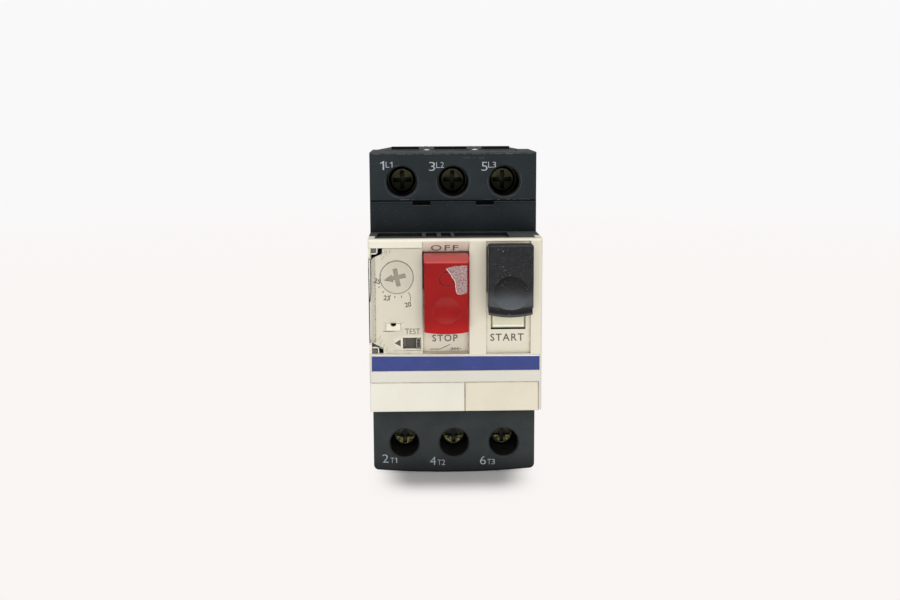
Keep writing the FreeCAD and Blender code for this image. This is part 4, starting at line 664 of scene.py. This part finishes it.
def metal(name, colour, tint, rough, brushed=(1, 1, 1), shine=1.0, screw_shading=None, box=()):
    """Plated or rolled metal: patchy tint, fine lines along one direction and dull spots.

    A screw's shading paints a screw of that box with light and shade, and painted shade in its slots;
    shine is how bare the metal is.
    """
    look = Look(name)
    patch = look.ramp(look.noise(1.6, 4.0, 0.6), 0.35, 0.7)
    paint = look.mix(patch, linear(colour), linear(tint))
    dull = look.times(look.specks(0.5, 0.25, 0.25), 0.3)
    paint = look.mix(dull, paint, linear(tint, 0.5))
    if screw_shading:
        paint = screw_shading(look, paint, *box)
        # Painted shade in the slots of a screw
        paint = look.mix(look.times(look.crevice(1.3), 0.95), paint, linear(SCREW_SHADE_DARK, 0.3))
    lines = look.noise(0.08, 3.0, 0.6, brushed)
    sheen = look.ramp(lines, 0.25, 0.75, rough - 0.08, rough + 0.1)
    normal = look.relief(lines, 0.006, 0.08)
    return look.shade(Base_Color=paint, Roughness=sheen, Normal=normal, Metallic=shine)


def ink(name, colour, fade):
    """Printed lettering, worn a little thin in patches; also thin painted marks of shade and light."""
    look = Look(name)
    worn = look.ramp(look.noise(0.28, 4.0, 0.65), 0.5, 0.75)
    paint = look.mix(worn, linear(colour), linear(fade))
    sheen = look.ramp(worn, 0.0, 1.0, 0.5, 0.7)
    return look.shade(Base_Color=paint, Roughness=sheen, Specular_IOR_Level=0.25)


def torn_paper(name):
    """Remnant of a torn sticker: white paper fibre over pinkish glue."""
    look = Look(name)
    fibre = look.ramp(look.noise(0.35, 5.0, 0.75), 0.42, 0.6)
    paint = look.mix(fibre, linear(PAPER_GLUE), linear(PAPER_FIBRE))
    paint = look.coat(paint, PAPER_FLECK, look.specks(0.42, 0.28, 0.5), 0.7)
    sheen = look.ramp(fibre, 0.0, 1.0, 0.7, 0.92)
    normal = look.relief(look.noise(0.3, 5.0, 0.7), 0.05)
    return look.shade(Base_Color=paint, Roughness=sheen, Normal=normal, Specular_IOR_Level=0.2)


# Plastics: colour, roughness, shine, drift of tone, and what else moulded takes
BLOCK_WEAR = {"wear": BLOCK_SCUFF, "corner_dirt_and_shade": BLOCK_GRIME_AND_SHADE, "shade_in_holes": HOLE_SHADE, "dust": 0.16}
CASING_WEAR = dict(BLOCK_WEAR, shade_in_holes=VENT_SHADE, dust=0.34)
PLASTICS = {
    "case_dark": (ANTHRACITE, 0.55, 0.18, 0.1, BLOCK_WEAR),
    # The lower block takes the lighter copy: painted light from the floor
    "case_dark_low_lit": (ANTHRACITE_LOW_LIT, 0.55, 0.18, 0.1, BLOCK_WEAR),
    "casing_dark": (CASING, 0.58, 0.16, 0.1, CASING_WEAR),
    "cover_cream": (CREAM, 0.45, 0.35, 0.02, {"tint": cover_tint, "corner_dirt_and_shade": (122, 114, 98)}),
    # The two plates are painted a little darker, as painted shade against the light from the floor
    "plate_pale": ((224, 221, 208), 0.45, 0.35, 0.02, {"corner_dirt_and_shade": (150, 142, 124)}),
    "plate_warm": ((219, 212, 192), 0.45, 0.35, 0.02, {"corner_dirt_and_shade": (150, 140, 118)}),
    "carrier_pale": ((222, 219, 190), 0.45, 0.35, 0.02, {"corner_dirt_and_shade": (140, 132, 104)}),
    "dial_pale": ((217, 212, 196), 0.45, 0.35, 0.03, {"corner_dirt_and_shade": (120, 110, 94), "corner_amount": 1.0}),
    "test_grey": ((84, 82, 76), 0.55, 0.25, 0.15, {"wear": (150, 148, 140), "corner_dirt_and_shade": (34, 33, 30)}),
    "black_plastic": ((34, 35, 37), 0.45, 0.3, 0.1, {"wear": (90, 92, 94), "dust": 0.1}),
    # Also used for the painted glints on the clear hinge leg
    "edge_pale": ((232, 230, 222), 0.5, 0.3, 0.05, {}),
    # Painted shade in gaps, openings and notches
    "gap_black": ((9, 10, 10), 0.7, 0.05, 0.2, {}),
    "gap_shade_cream": ((176, 166, 142), 0.5, 0.2, 0.05, {}),
    "hinge_grey": ((96, 96, 92), 0.5, 0.3, 0.25, {}),
    "tab_edge_light": ((244, 242, 232), 0.45, 0.3, 0.02, {}),
    # Painted shade in the cross slot of the dial
    "dial_slot_shade": ((164, 155, 138), 0.6, 0.2, 0.08, {}),
    # Painted highlight on the rim of the STOP dimple
    "dimple_rim": ((164, 42, 40), 0.4, 0.2, 0.1, {}),
    "test_light": ((170, 166, 154), 0.5, 0.3, 0.1, {}),
}

# Metals: colour, second tint, roughness, stretch of their lines, and how bare they are
METALS = {
    "nickel_bright": ((214, 214, 208), (182, 182, 176), 0.24),
    "rivet_zinc": ((214, 216, 210), (186, 188, 182), 0.34, (1, 1, 1), 0.15),
    "spring_wire": ((170, 172, 172), (120, 122, 124), 0.3, (1, 1, 0.1)),
    "arc_steel": ((150, 150, 148), (108, 106, 104), 0.42, (0.06, 1, 1)),
    "copper_bright": ((214, 146, 106), (176, 106, 72), 0.3, (1, 1, 0.06)),
    # The saddles are painted darker, as shade inside the terminal holes
    "saddle_zinc_shaded": ((112, 108, 92), (84, 82, 72), 0.4, (0.06, 1, 1)),
    "bimetal_dull": ((158, 152, 142), (118, 110, 102), 0.46, (1, 1, 0.05)),
}
# Upper screws: a darker copy of the zinc as painted shade in their holes; lower screws: a lighter, less
# metallic copy as painted light
UPPER_SCREW_SHADED = ((98, 96, 68), (70, 70, 54), 0.36, (1, 0.05, 1), 1.0, upper_grease)
LOWER_SCREW_LIT = ((188, 182, 116), (140, 136, 86), 0.36, (1, 0.05, 1), 0.3, lower_grease)

# Inks: colour, and colour where worn; the last three are painted shade and highlights, the scuff grey also
# rub marks
INKS = {
    "ink_white": ((170, 178, 182), (120, 126, 128)),
    "ink_grey": ((92, 88, 82), (170, 164, 150)),
    "ink_dark": ((88, 84, 80), (150, 144, 132)),
    # Lighter copy of the grey ink for OFF: painted light against the shade on its ramp
    "ink_ramp_lit": ((118, 112, 102), (176, 168, 152)),
    "cover_grime": ((106, 102, 80), (152, 148, 124)),
    "leg_shade": ((52, 56, 54), (104, 106, 100)),
    "scuff_and_glint_grey": ((98, 104, 106), (62, 68, 70)),
    "edge_grey": ((66, 73, 76), (48, 54, 57)),
}

# Finishes with a function of their own
SPECIAL = {
    "start_charcoal": start_plastic,
    "stop_red": stop_plastic,
    "label_blue": label_film,
    "clear_plastic": clear_plastic,
    "torn_paper": torn_paper,
}


def each(stem, numbers):
    return [f"{stem}_{number}" for number in numbers]


# Which solids each finish is on
COPPER = ("line_bar", "coil_bar", "load_bar", "trip_coil", "contact_bridge")
DRESSED = {
    "case_dark": ("rear_base", "upper_terminal_block"),
    "case_dark_low_lit": ("lower_terminal_block",),
    "casing_dark": ("front_casing", "trip_slider"),
    "cover_cream": ("front_cover",),
    "plate_pale": ("marker_plate",),
    "plate_warm": ("aux_contact_cover",),
    "carrier_pale": ("start_carrier",),
    "dial_pale": ("setting_dial",),
    "test_grey": ("test_slider",),
    "black_plastic": ("contact_carrier", "drive_lever", "trip_lever", "din_clip"),
    "start_charcoal": ("start_button",),
    "stop_red": ("stop_button",),
    "label_blue": ("name_label",),
    "clear_plastic": ("clear_cover",),
    "nickel_bright": ("mechanism_pin", *each("plunger", POLES)),
    "rivet_zinc": ("case_rivets",),
    "spring_wire": (*SPRINGS, "contact_springs"),
    "arc_steel": ("arc_plates",),
    "copper_bright": [name for stem in COPPER for name in each(stem, POLES)],
    "saddle_zinc_shaded": each("terminal_saddle", TERMINALS),
    "bimetal_dull": ("bimetal_heaters", *each("bimetal", POLES)),
}


def dress(material, names):
    for name in names:
        NODES[name].data.materials.clear()
        NODES[name].data.materials.append(material)


def make_finishes():
    """Every material but those of the screws, by name."""
    made = {name: build(name) for name, build in SPECIAL.items()}
    for name, (colour, rough, shine, tone, more) in PLASTICS.items():
        made[name] = moulded(name, colour, rough, shine, tone, **more)
    for name, settings in METALS.items():
        made[name] = metal(name, *settings)
    for name, colours in INKS.items():
        made[name] = ink(name, *colours)
    return made


def dress_screws():
    """Zinc of the terminal screws, each with painted light and shade of its own."""
    for number in TERMINALS:
        node = f"terminal_screw_{number}"
        settings = UPPER_SCREW_SHADED if number % 2 else LOWER_SCREW_LIT
        dress(metal(f"zinc_{number}", *settings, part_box(node)), [node])


# Frames in which printed things are drawn: right, up and out of the surface
FRONT = Matrix(((1, 0, 0), (0, 0, -1), (0, 1, 0)))
RAMP_SLOPE = math.sqrt(0.5)
RAMP = Matrix(((1, 0, 0), (0, -RAMP_SLOPE, -RAMP_SLOPE), (0, RAMP_SLOPE, -RAMP_SLOPE)))


def add_object(name, data):
    thing = bpy.data.objects.new(name, data)
    bpy.context.scene.collection.objects.link(thing)
    return thing


def place(name, mesh, axes, origin, body, slot, finish):
    """Make a piece of a mesh drawn in a surface frame and let it ride on a body."""
    mesh.transform(Matrix.Translation(origin) @ axes.to_4x4())
    mesh.materials.append(FINISHES[finish])
    piece = add_object(name, mesh)
    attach(piece, body)
    return piece


def stamp(name, mesh, y, body, slot, finish):
    """Make a piece of a mesh drawn on an upright plane."""
    place(name, mesh, FRONT, Vector((0, y, 0)), body, slot, finish)


def mark(name, outlines, y, body, slot, finish, proud=PRINT_PROUD):
    """Make a piece of thin raised shapes on an upright plane."""
    stamp(name, sheet(outlines, proud), y, body, slot, finish)


def finished(build, name):
    """The mesh of a bmesh, with its faces turned outwards."""
    bmesh.ops.recalc_face_normals(build, faces=build.faces)
    mesh = bpy.data.meshes.new(name)
    build.to_mesh(mesh)
    build.free()
    return mesh


def letters(words, left, low, height, width, weight=0.0, spacing=1.0, turn=0.0):
    """Mesh of raised lettering in mm, whose lower left corner is at left, low."""
    curve = bpy.data.curves.new(words, "FONT")
    curve.body = words
    curve.offset = weight
    curve.space_character = spacing
    curve.resolution_u = 3
    curve.extrude = 0.5
    text = add_object(words, curve)
    bpy.context.view_layer.update()
    shown = text.evaluated_get(bpy.context.evaluated_depsgraph_get())
    mesh = bpy.data.meshes.new_from_object(shown)
    bpy.data.objects.remove(text)
    xs = [vertex.co.x for vertex in mesh.vertices]
    ys = [vertex.co.y for vertex in mesh.vertices]
    tall = height / (max(ys) - min(ys))
    wide = width / (max(xs) - min(xs))
    mesh.transform(Matrix.Translation((-min(xs), -min(ys), 0)))
    mesh.transform(Matrix.Diagonal((wide * MM, tall * MM, 2 * PRINT_PROUD * MM, 1)))
    mesh.transform(Matrix.Translation((left * MM, low * MM, 0)) @ Matrix.Rotation(turn, 4, "Z"))
    return mesh


def sheet(outlines, proud=PRINT_PROUD):
    """Mesh of thin raised shapes, each a closed outline of points in mm."""
    build = bmesh.new()
    for outline in outlines:
        face = build.faces.new([build.verts.new((x * MM, y * MM, proud * MM)) for x, y in outline])
        face.normal_update()
        if face.normal.z < 0:
            face.normal_flip()
        grown = bmesh.ops.extrude_face_region(build, geom=[face])
        low = [item for item in grown["geom"] if isinstance(item, bmesh.types.BMVert)]
        bmesh.ops.translate(build, verts=low, vec=(0, 0, -2 * proud * MM))
    return finished(build, "sheet")


def skin(name, rings, tube):
    """Smooth mesh through rings of points: a capped tube, or open rings that go round in a loop."""
    build = bmesh.new()
    rows = [[build.verts.new(point) for point in ring] for ring in rings]
    after = rows[1:] if tube else rows[1:] + rows[:1]
    corners = len(rings[0])
    for row, following in zip(rows, after):
        for corner in range(corners if tube else corners - 1):
            beside = (corner + 1) % corners
            build.faces.new((row[corner], row[beside], following[beside], following[corner]))
    if tube:
        build.faces.new(rows[0])
        build.faces.new(rows[-1])
    mesh = finished(build, name)
    mesh.shade_smooth()
    return mesh


def stroke(width, *points):
    """Closed outline of a line of even width through points in mm."""
    left, right = [], []
    for index, (x, y) in enumerate(points):
        before = Vector(points[max(index - 1, 0)])
        after = Vector(points[min(index + 1, len(points) - 1)])
        along = (after - before).normalized() * (width / 2)
        left.append((x - along.y, y + along.x))
        right.append((x + along.y, y - along.x))
    return left + right[::-1]


def strokes(lines):
    return [stroke(*line) for line in lines]


def rectangle(middle, half, low, high):
    """Outline of an upright rectangle in mm."""
    return [(middle - half, low), (middle + half, low), (middle + half, high), (middle - half, high)]


def arc(centre, radius, start, end, steps):
    """Points of an arc in mm, from start to end in degrees."""
    points = []
    for step in range(steps + 1):
        angle = math.radians(start + (end - start) * step / steps)
        points.append((centre[0] + radius * math.cos(angle), centre[1] + radius * math.sin(angle)))
    return points


def middle_of(node):
    """Middle of a solid seen from the front, in mm."""
    low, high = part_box(node)
    return Vector(((low.x + high.x) / 2, (low.z + high.z) / 2)) / MM


def glyph(sign, at, size):
    """Mesh of one printed sign; the figure 1 has a flag and no foot."""
    width, height = size
    if sign == "1":
        return sheet([[(at.x + x * height, at.y + y * height) for x, y in ONE_STEM + ONE_FLAG]])
    return letters(sign, at.x, at.y, height, width, weight=MARK_WEIGHT)


def terminal_numbers():
    """Terminal marks beside the screw holes: a large figure and a small letter with a figure."""
    for number, (figure_at, letter_at) in MARK_PLACES.items():
        hole = middle_of(f"terminal_screw_{number}")
        pole = (number + 1) // 2
        letter = "L" if number % 2 else "T"
        signs = [(str(number), hole + Vector(figure_at), FIGURE_SIZE)]
        signs.append((letter, hole + Vector(letter_at), LETTER_SIZE))
        signs.append((str(pole), hole + Vector(letter_at) + Vector(LETTER_STEP), LETTER_SIZE))
        for index, sign in enumerate(signs):
            stamp(f"mark_{number}_{index}", glyph(*sign), BLOCK_Y, "case", "cream_cover", "ink_white")


def button_words():
    """OFF on the ramp over STOP, the other words and figures, the switch sign and the test arrow."""
    ink_on = ("case", "black_plastic")
    ramp_top = Vector((0, COVER_Y, RAMP_TOP * MM))
    # OFF takes a lighter ink, painted light against the shade on the ramp
    place("word_off", letters("OFF", *OFF_WORD), RAMP, ramp_top, *ink_on, "ink_ramp_lit")
    for name, (words, y, finish, sizes) in WORDS.items():
        stamp(name, letters(words, *sizes), y, *ink_on, finish)
    mark("switch_sign", strokes(SWITCH_SIGN), STOP_FLOOR_Y, *ink_on, "ink_grey")
    mark("test_arrow", [TEST_ARROW], ZONE_Y, *ink_on, "ink_grey")


def dial_scale():
    """Ticks of the scale round the lower half of the dial."""
    centre = middle_of("setting_dial")
    lines = []
    for degrees in TICK_DEGREES:
        way = Vector((math.cos(math.radians(degrees)), math.sin(math.radians(degrees))))
        lines.append((TICK_WIDTH, *(tuple(centre + way * reach) for reach in TICK_REACH)))
    mark("scale_ticks", strokes(lines + [SCALE_END]), ZONE_Y, "case", "black_plastic", "ink_dark")


def dial_mark():
    """Painted shade on the floor of the cross slot of the dial, whose left arm ends in an arrow."""
    half, side = DIAL_SLOT
    tip, barb = DIAL_ARROW
    upper = [(half, side), (side, side), (side, half), (-side, half), (-side, side), (-2 * side, side)]
    upper.append((-2 * side, barb))
    outline = upper + [(-tip, 0)] + [(x, -y) for x, y in reversed(upper)]
    centre = middle_of("setting_dial")
    turn = Matrix.Rotation(math.radians(DIAL_TURN), 2)
    turned = [tuple(centre + turn @ Vector(point)) for point in outline]
    mark("dial_slot_shade", [turned], DIAL_SLOT_Y, "dial", "dial_grey", "dial_slot_shade")


def test_marks():
    """Painted highlight round the nub of the test slide, and light ticks beside it on its plate."""
    left, right = TEST_NUB
    low, high = TEST_RING_Z
    cut = TEST_CORNER
    ring = [(left + cut, low), (right - cut, low), (right, low + cut), (right, high - cut)]
    ring += [(right - cut, high), (left + cut, high), (left, high - cut), (left, low + cut)]
    sides = [stroke(TEST_RING_WIDTH, a, b) for a, b in zip(ring, ring[1:] + ring[:1])]
    # Painted highlight round the edge of the nub
    mark("test_ring", sides, NUB_Y, "test", "cream_cover", "test_light")
    x, z = TEST_TICK_AT
    across, up = TEST_TICK_RUN
    ticks = []
    for step in range(TEST_TICKS):
        base = z + step * TEST_TICK_STEP
        ticks.append(stroke(TEST_TICK_WIDTH, (x, base), (x + across, base + up)))
    mark("test_ticks", ticks, TEST_PLATE_Y, "test", "cream_cover", "test_light")


def dimple_rim():
    """Painted highlight on the lower rim of the finger dimple of STOP."""
    centre = (middle_of("stop_button").x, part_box("stop_button")[0].z / MM + DIMPLE_RISE)
    rim = stroke(DIMPLE_LINE, *arc(centre, DIMPLE_R, *DIMPLE_ARC))
    mark("dimple_rim", [rim], STOP_Y, "stop", "stop_red", "dimple_rim", DIMPLE_PROUD)


def sticker_remnant():
    """Torn piece of a sticker left on the STOP button, with a ragged, lifted white edge."""
    random.seed(7)
    ragged = []
    for (x0, y0), (x1, y1) in zip(STICKER_CORNERS, STICKER_CORNERS[1:] + STICKER_CORNERS[:1]):
        steps = max(2, int(math.hypot(x1 - x0, y1 - y0) / STICKER_STEP))
        for step in range(steps):
            share = step / steps
            x = x0 + (x1 - x0) * share + random.uniform(-STICKER_RAGGED, STICKER_RAGGED)
            y = y0 + (y1 - y0) * share + random.uniform(-STICKER_RAGGED, STICKER_RAGGED)
            ragged.append((min(x, STICKER_RIGHT), y))
    mark("sticker_remnant", [ragged], STOP_Y, "stop", "cream_cover", "torn_paper", STICKER_PROUD)
    torn = [stroke(TORN_WIDTH, a, b) for a, b in zip(ragged[-TORN_STEPS:], ragged[1 - TORN_STEPS:])]
    mark("sticker_edge", torn, STOP_Y, "stop", "cream_cover", "edge_pale", TORN_PROUD)


def carrier_edges():
    """Painted shade in the gap under the tab of the START carrier, and a painted highlight on the lower
    edge of the tab.
    """
    middle = middle_of("start_carrier").x
    gap = rectangle(middle, TAB_GAP_HALF, *TAB_GAP_Z)
    mark("tab_gap", [gap], TAB_GAP_Y, "case", "dark_case", "gap_black", GAP_PROUD)
    edge = rectangle(middle, TAB_HALF, *TAB_EDGE_Z)
    # Painted highlight on the bevelled lower edge of the tab
    mark("tab_edge", [edge], TAB_Y, "start", "carrier_grey", "tab_edge_light")


def corner_windows():
    """Painted shade in the openings in the left corners of the clear cover, with the ends of its hinge in
    them.
    """
    mark("corner_gaps", CORNER_WINDOWS, WINDOW_Y, "case", "dark_case", "gap_black", WINDOW_PROUD)
    mark("hinge_ends", HINGE_ENDS, HINGE_Y, "case", "dark_case", "hinge_grey", HINGE_END_PROUD)
    mark("hinge_rims", strokes(HINGE_RIMS), HINGE_Y, "case", "cream_cover", "edge_pale", HINGE_RIM_PROUD)


def cover_dirt():
    """Scratches and a broken line of dirt on the clear cover."""
    random.seed(11)
    marks = []
    for x, z, fall, lean in SCRATCHES:
        marks.append(stroke(SCRATCH_WIDTH, (x, z), (x - lean * fall, z - fall)))
    height, lowest = DIRT_Z
    while height > lowest:
        dash = random.uniform(*DIRT_DASH)
        x = DIRT_X + random.uniform(-DIRT_STRAY, DIRT_STRAY)
        lower = (x + random.uniform(-DIRT_LEAN, DIRT_LEAN), height - dash)
        marks.append(stroke(random.uniform(*DIRT_WIDTH), (x, height), lower))
        height -= dash + random.uniform(*DIRT_GAP)
    mark("cover_dirt", marks, CLEAR_Y, "clear_cover", "black_plastic", "cover_grime")


def leg_lines():
    """Painted dark refraction and painted glints along the edge of the clear hinge leg."""
    mark("leg_shades", strokes(LEG_SHADES), CLEAR_Y, "clear_cover", "black_plastic", "leg_shade")
    mark("leg_glints", strokes(LEG_GLINTS), CLEAR_Y, "clear_cover", "cream_cover", "edge_pale")


def small_gaps():
    """Painted shade in the latch notches, the seam, the sealing hole and the gap beside the blanking
    cover.
    """
    dark = ("case", "dark_case", "gap_black")
    notches = [rectangle(x, NOTCH_HALF, *NOTCH_Z) for x in (-NOTCH_X, NOTCH_X)]
    mark("notch_floors", notches, NOTCH_Y, *dark, WINDOW_PROUD)
    mark("seam_shade", [rectangle(0, SEAM_HALF, *SEAM_Z)], BLOCK_Y, *dark, LINE_PROUD)
    mark("sealing_hole", [arc(SEAL_AT, SEAL_R, *SEAL_ARC)], SEAL_Y, *dark, WINDOW_PROUD)
    low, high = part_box("aux_contact_cover")
    middle = high.x / MM - PLATE_GAP_LAP + PLATE_GAP_HALF
    gap = rectangle(middle, PLATE_GAP_HALF, low.z / MM + PLATE_GAP_RISE, high.z / MM)
    mark("plate_gap", [gap], PLATE_GAP_Y, "case", "cream_cover", "gap_shade_cream", GAP_PROUD)


def scuffs():
    """A broken painted highlight along the top front edge of the upper block, and rub marks beside its
    seam.
    """
    random.seed(5)
    marks = []
    for start, end, height, width in SCUFF_ROWS:
        x = start
        while x < end:
            length = random.uniform(*SCUFF_LENGTH)
            z = height + random.uniform(-SCUFF_STRAY, SCUFF_STRAY)
            thick = width * random.uniform(*SCUFF_THICK)
            marks.append(stroke(thick, (x, z), (min(x + length, end), z)))
            x += length + random.uniform(*SCUFF_GAP)
    mark("block_scuffs_and_glints", marks, BLOCK_Y, "case", "dark_case", "scuff_and_glint_grey", SCUFF_PROUD)


def light_edges():
    """Edges that catch the light: under the seam and notches, and below the upper screw holes."""
    marks = [stroke(width, (start, height), (end, height)) for start, end, height, width in LIT_ROWS]
    for number in TERMINALS[::2]:
        hole = middle_of(f"terminal_screw_{number}")
        marks.append(stroke(HOLE_RIM_WIDTH, *arc(hole, HOLE_RIM, *HOLE_RIM_ARC)))
    mark("light_edges", marks, BLOCK_Y, "case", "dark_case", "edge_grey", LINE_PROUD)


def rolled_rims():
    """Rolled-over rims of the rivets that show between the hoods."""
    middle, thick = (size * MM for size in RIVET_RIM)
    bends = [math.pi * bend / RIM_BENDS for bend in range(RIM_BENDS + 1)]
    rings = []
    for step in range(RIM_STEPS):
        around = 2 * math.pi * step / RIM_STEPS
        way = Vector((math.cos(around), math.sin(around), 0))
        out = Vector((0, 0, thick))
        rings.append([way * (middle + thick * math.cos(bend)) + out * math.sin(bend) for bend in bends])
    for index, (x, z) in enumerate(RIVET_AT):
        at = Vector((x * MM, RIVET_Y, z * MM))
        mesh = skin("rim", rings, tube=False)
        place(f"rivet_rim_{index}", mesh, FRONT, at, "case", "zinc_steel", "rivet_zinc")


def coil_rise(turn, turns, dead):
    """Share of a spring's length at a turn: its first and last turns lie flat, dead of the length each."""
    if turn <= 1:
        return turn * dead
    if turn >= turns - 1:
        return 1 - (turns - turn) * dead
    return dead + (turn - 1) / (turns - 2) * (1 - 2 * dead)


def coil_spring(node, turns, push, joint):
    """Round-wire spring with flat end turns, wound along push; joint is not used."""
    low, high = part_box(node)
    middle = (low + high) / 2
    reach = high - low
    length = abs(reach.dot(push))
    thick = SPRING_WIRE * MM
    climb = length - thick
    radius = (reach.z if push.z == 0 else reach.x) / 2 - thick / 2
    side = Vector((1, 0, 0))
    other = push.cross(side)
    start = middle - push * climb / 2
    corners = [2 * math.pi * corner / SPRING_SIDES for corner in range(SPRING_SIDES)]
    rings = []
    for step in range(turns * SPRING_STEPS + 1):
        turn = step / SPRING_STEPS
        out = side * math.cos(2 * math.pi * turn) + other * math.sin(2 * math.pi * turn)
        centre = start + push * climb * coil_rise(turn, turns, thick / climb) + out * radius
        rings.append([centre + (out * math.cos(c) + push * math.sin(c)) * thick / 2 for c in corners])
    mesh = skin(node, rings, tube=True)
    coil = place(f"{node}_coil", mesh, Matrix.Identity(3), Vector(), "case", "zinc_steel", "spring_wire")
    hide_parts(node)
    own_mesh(coil)


def add_camera():
    camera = add_object("camera", bpy.data.cameras.new("camera"))
    camera.data.lens = CAMERA_LENS
    camera.data.sensor_width = SENSOR_WIDTH
    camera.data.clip_start = CAMERA_NEAR * MM
    turned = Matrix.Translation(Vector(CAMERA_AT) * MM)
    for degrees, axis in ((-CAMERA_YAW, "Z"), (90 - CAMERA_PITCH, "X"), (CAMERA_ROLL, "Z")):
        turned = turned @ Matrix.Rotation(math.radians(degrees), 4, axis)
    camera.matrix_world = turned
    bpy.context.scene.camera = camera


def seen_rays(look):
    """1 for rays that show a surface directly, in a mirror or through glass."""
    path = look.node("LightPath").outputs
    straight = look.plain("MAXIMUM", path["Is Camera Ray"], path["Is Glossy Ray"])
    return look.plain("MAXIMUM", straight, path["Is Transmission Ray"])


def shadow_share(look):
    """1 on the floor close before and behind the middle of the standing part, falling to 0 beside it."""
    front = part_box("lower_terminal_block")[0].y
    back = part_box("rear_base")[1].y
    beside = look.ramp(look.plain("ABSOLUTE", look.x), *SHADOW_ACROSS, 1.0, 0.0)
    along = look.plain("ABSOLUTE", look.plain("SUBTRACT", look.y, (front + back) / 2))
    near, far = ((back - front) / 2 + reach for reach in SHADOW_AHEAD)
    return look.times(beside, look.ramp(along, near, far, 1.0, 0.0))


def add_floor():
    """Pale floor that takes the shadow near the part and fades into the white backdrop."""
    build = bmesh.new()
    bmesh.ops.create_grid(build, x_segments=FLOOR_CELLS, y_segments=FLOOR_CELLS, size=FLOOR_SIZE)
    mesh = bpy.data.meshes.new("floor")
    build.to_mesh(mesh)
    build.free()
    floor = add_object("floor", mesh)
    floor.location = (0, 0, CAD_BOX[0][2])
    look = Look("floor_pale")
    fade = look.ramp(shadow_share(look), 0.0, 1.0, 1.0, SHADOW_LEAST)
    paper = look.mix(look.ramp(look.noise(40.0, 3.0), 0.3, 0.7), FLOOR_DARK, FLOOR_LIGHT)
    look.shade(Base_Color=paper, Roughness=0.6, Specular_IOR_Level=0.15)
    away = look.vector("LENGTH", look.place)
    tint = look.mix(look.ramp(away, *HORIZON), FLOOR_GLOW, BACKDROP)
    glow = look.node("Emission", {"Color": tint, "Strength": 1.0})
    share = look.plain("MULTIPLY", fade, seen_rays(look))
    blend = look.node("MixShader", {0: share, 1: look.shader.outputs[0], 2: glow.outputs[0]})
    look.feed(look.tree.nodes["Material Output"].inputs[0], blend.outputs[0])
    mesh.materials.append(look.material)


def add_world():
    """White to the eye; as a light, a soft even tent."""
    world = bpy.data.worlds.new("studio")
    world.use_nodes = True
    bpy.context.scene.world = world
    tree = world.node_tree
    tree.nodes.clear()
    kinds = ("Background", "Background", "MixShader", "LightPath", "OutputWorld")
    seen, lit, blend, path, out = (tree.nodes.new("ShaderNode" + kind) for kind in kinds)
    seen.inputs[0].default_value = BACKDROP
    lit.inputs[0].default_value = SKY_TINT
    lit.inputs[1].default_value = SKY_LIGHT
    tree.links.new(path.outputs["Is Camera Ray"], blend.inputs[0])
    tree.links.new(lit.outputs[0], blend.inputs[1])
    tree.links.new(seen.outputs[0], blend.inputs[2])
    tree.links.new(blend.outputs[0], out.inputs[0])


def add_lamp(name, at, size, power, shines):
    """Soft box aimed at the part; one that does not shine lights it without a reflection."""
    lamp = add_object(name, bpy.data.lights.new(name, "AREA"))
    lamp.data.shape = "RECTANGLE"
    lamp.data.size, lamp.data.size_y = size
    lamp.data.energy = power
    lamp.location = at
    lamp.visible_glossy = shines
    lamp.visible_transmission = False
    lamp.rotation_euler = (Vector(LAMP_TARGET) - Vector(at)).to_track_quat("-Z", "Y").to_euler()


FINISHES = make_finishes()
for finish, names in DRESSED.items():
    dress(FINISHES[finish], names)
dress_screws()
NODES["clear_cover"].visible_shadow = False

terminal_numbers()
button_words()
dial_scale()
dial_mark()
test_marks()
dimple_rim()
sticker_remnant()
carrier_edges()
corner_windows()
cover_dirt()
leg_lines()
small_gaps()
scuffs()
light_edges()
rolled_rims()
for spring, settings in SPRINGS.items():
    coil_spring(spring, *settings)

add_camera()
add_floor()
add_world()
for lamp in LAMPS:
    add_lamp(*lamp)
bpy.context.scene.view_settings.view_transform = "Standard"
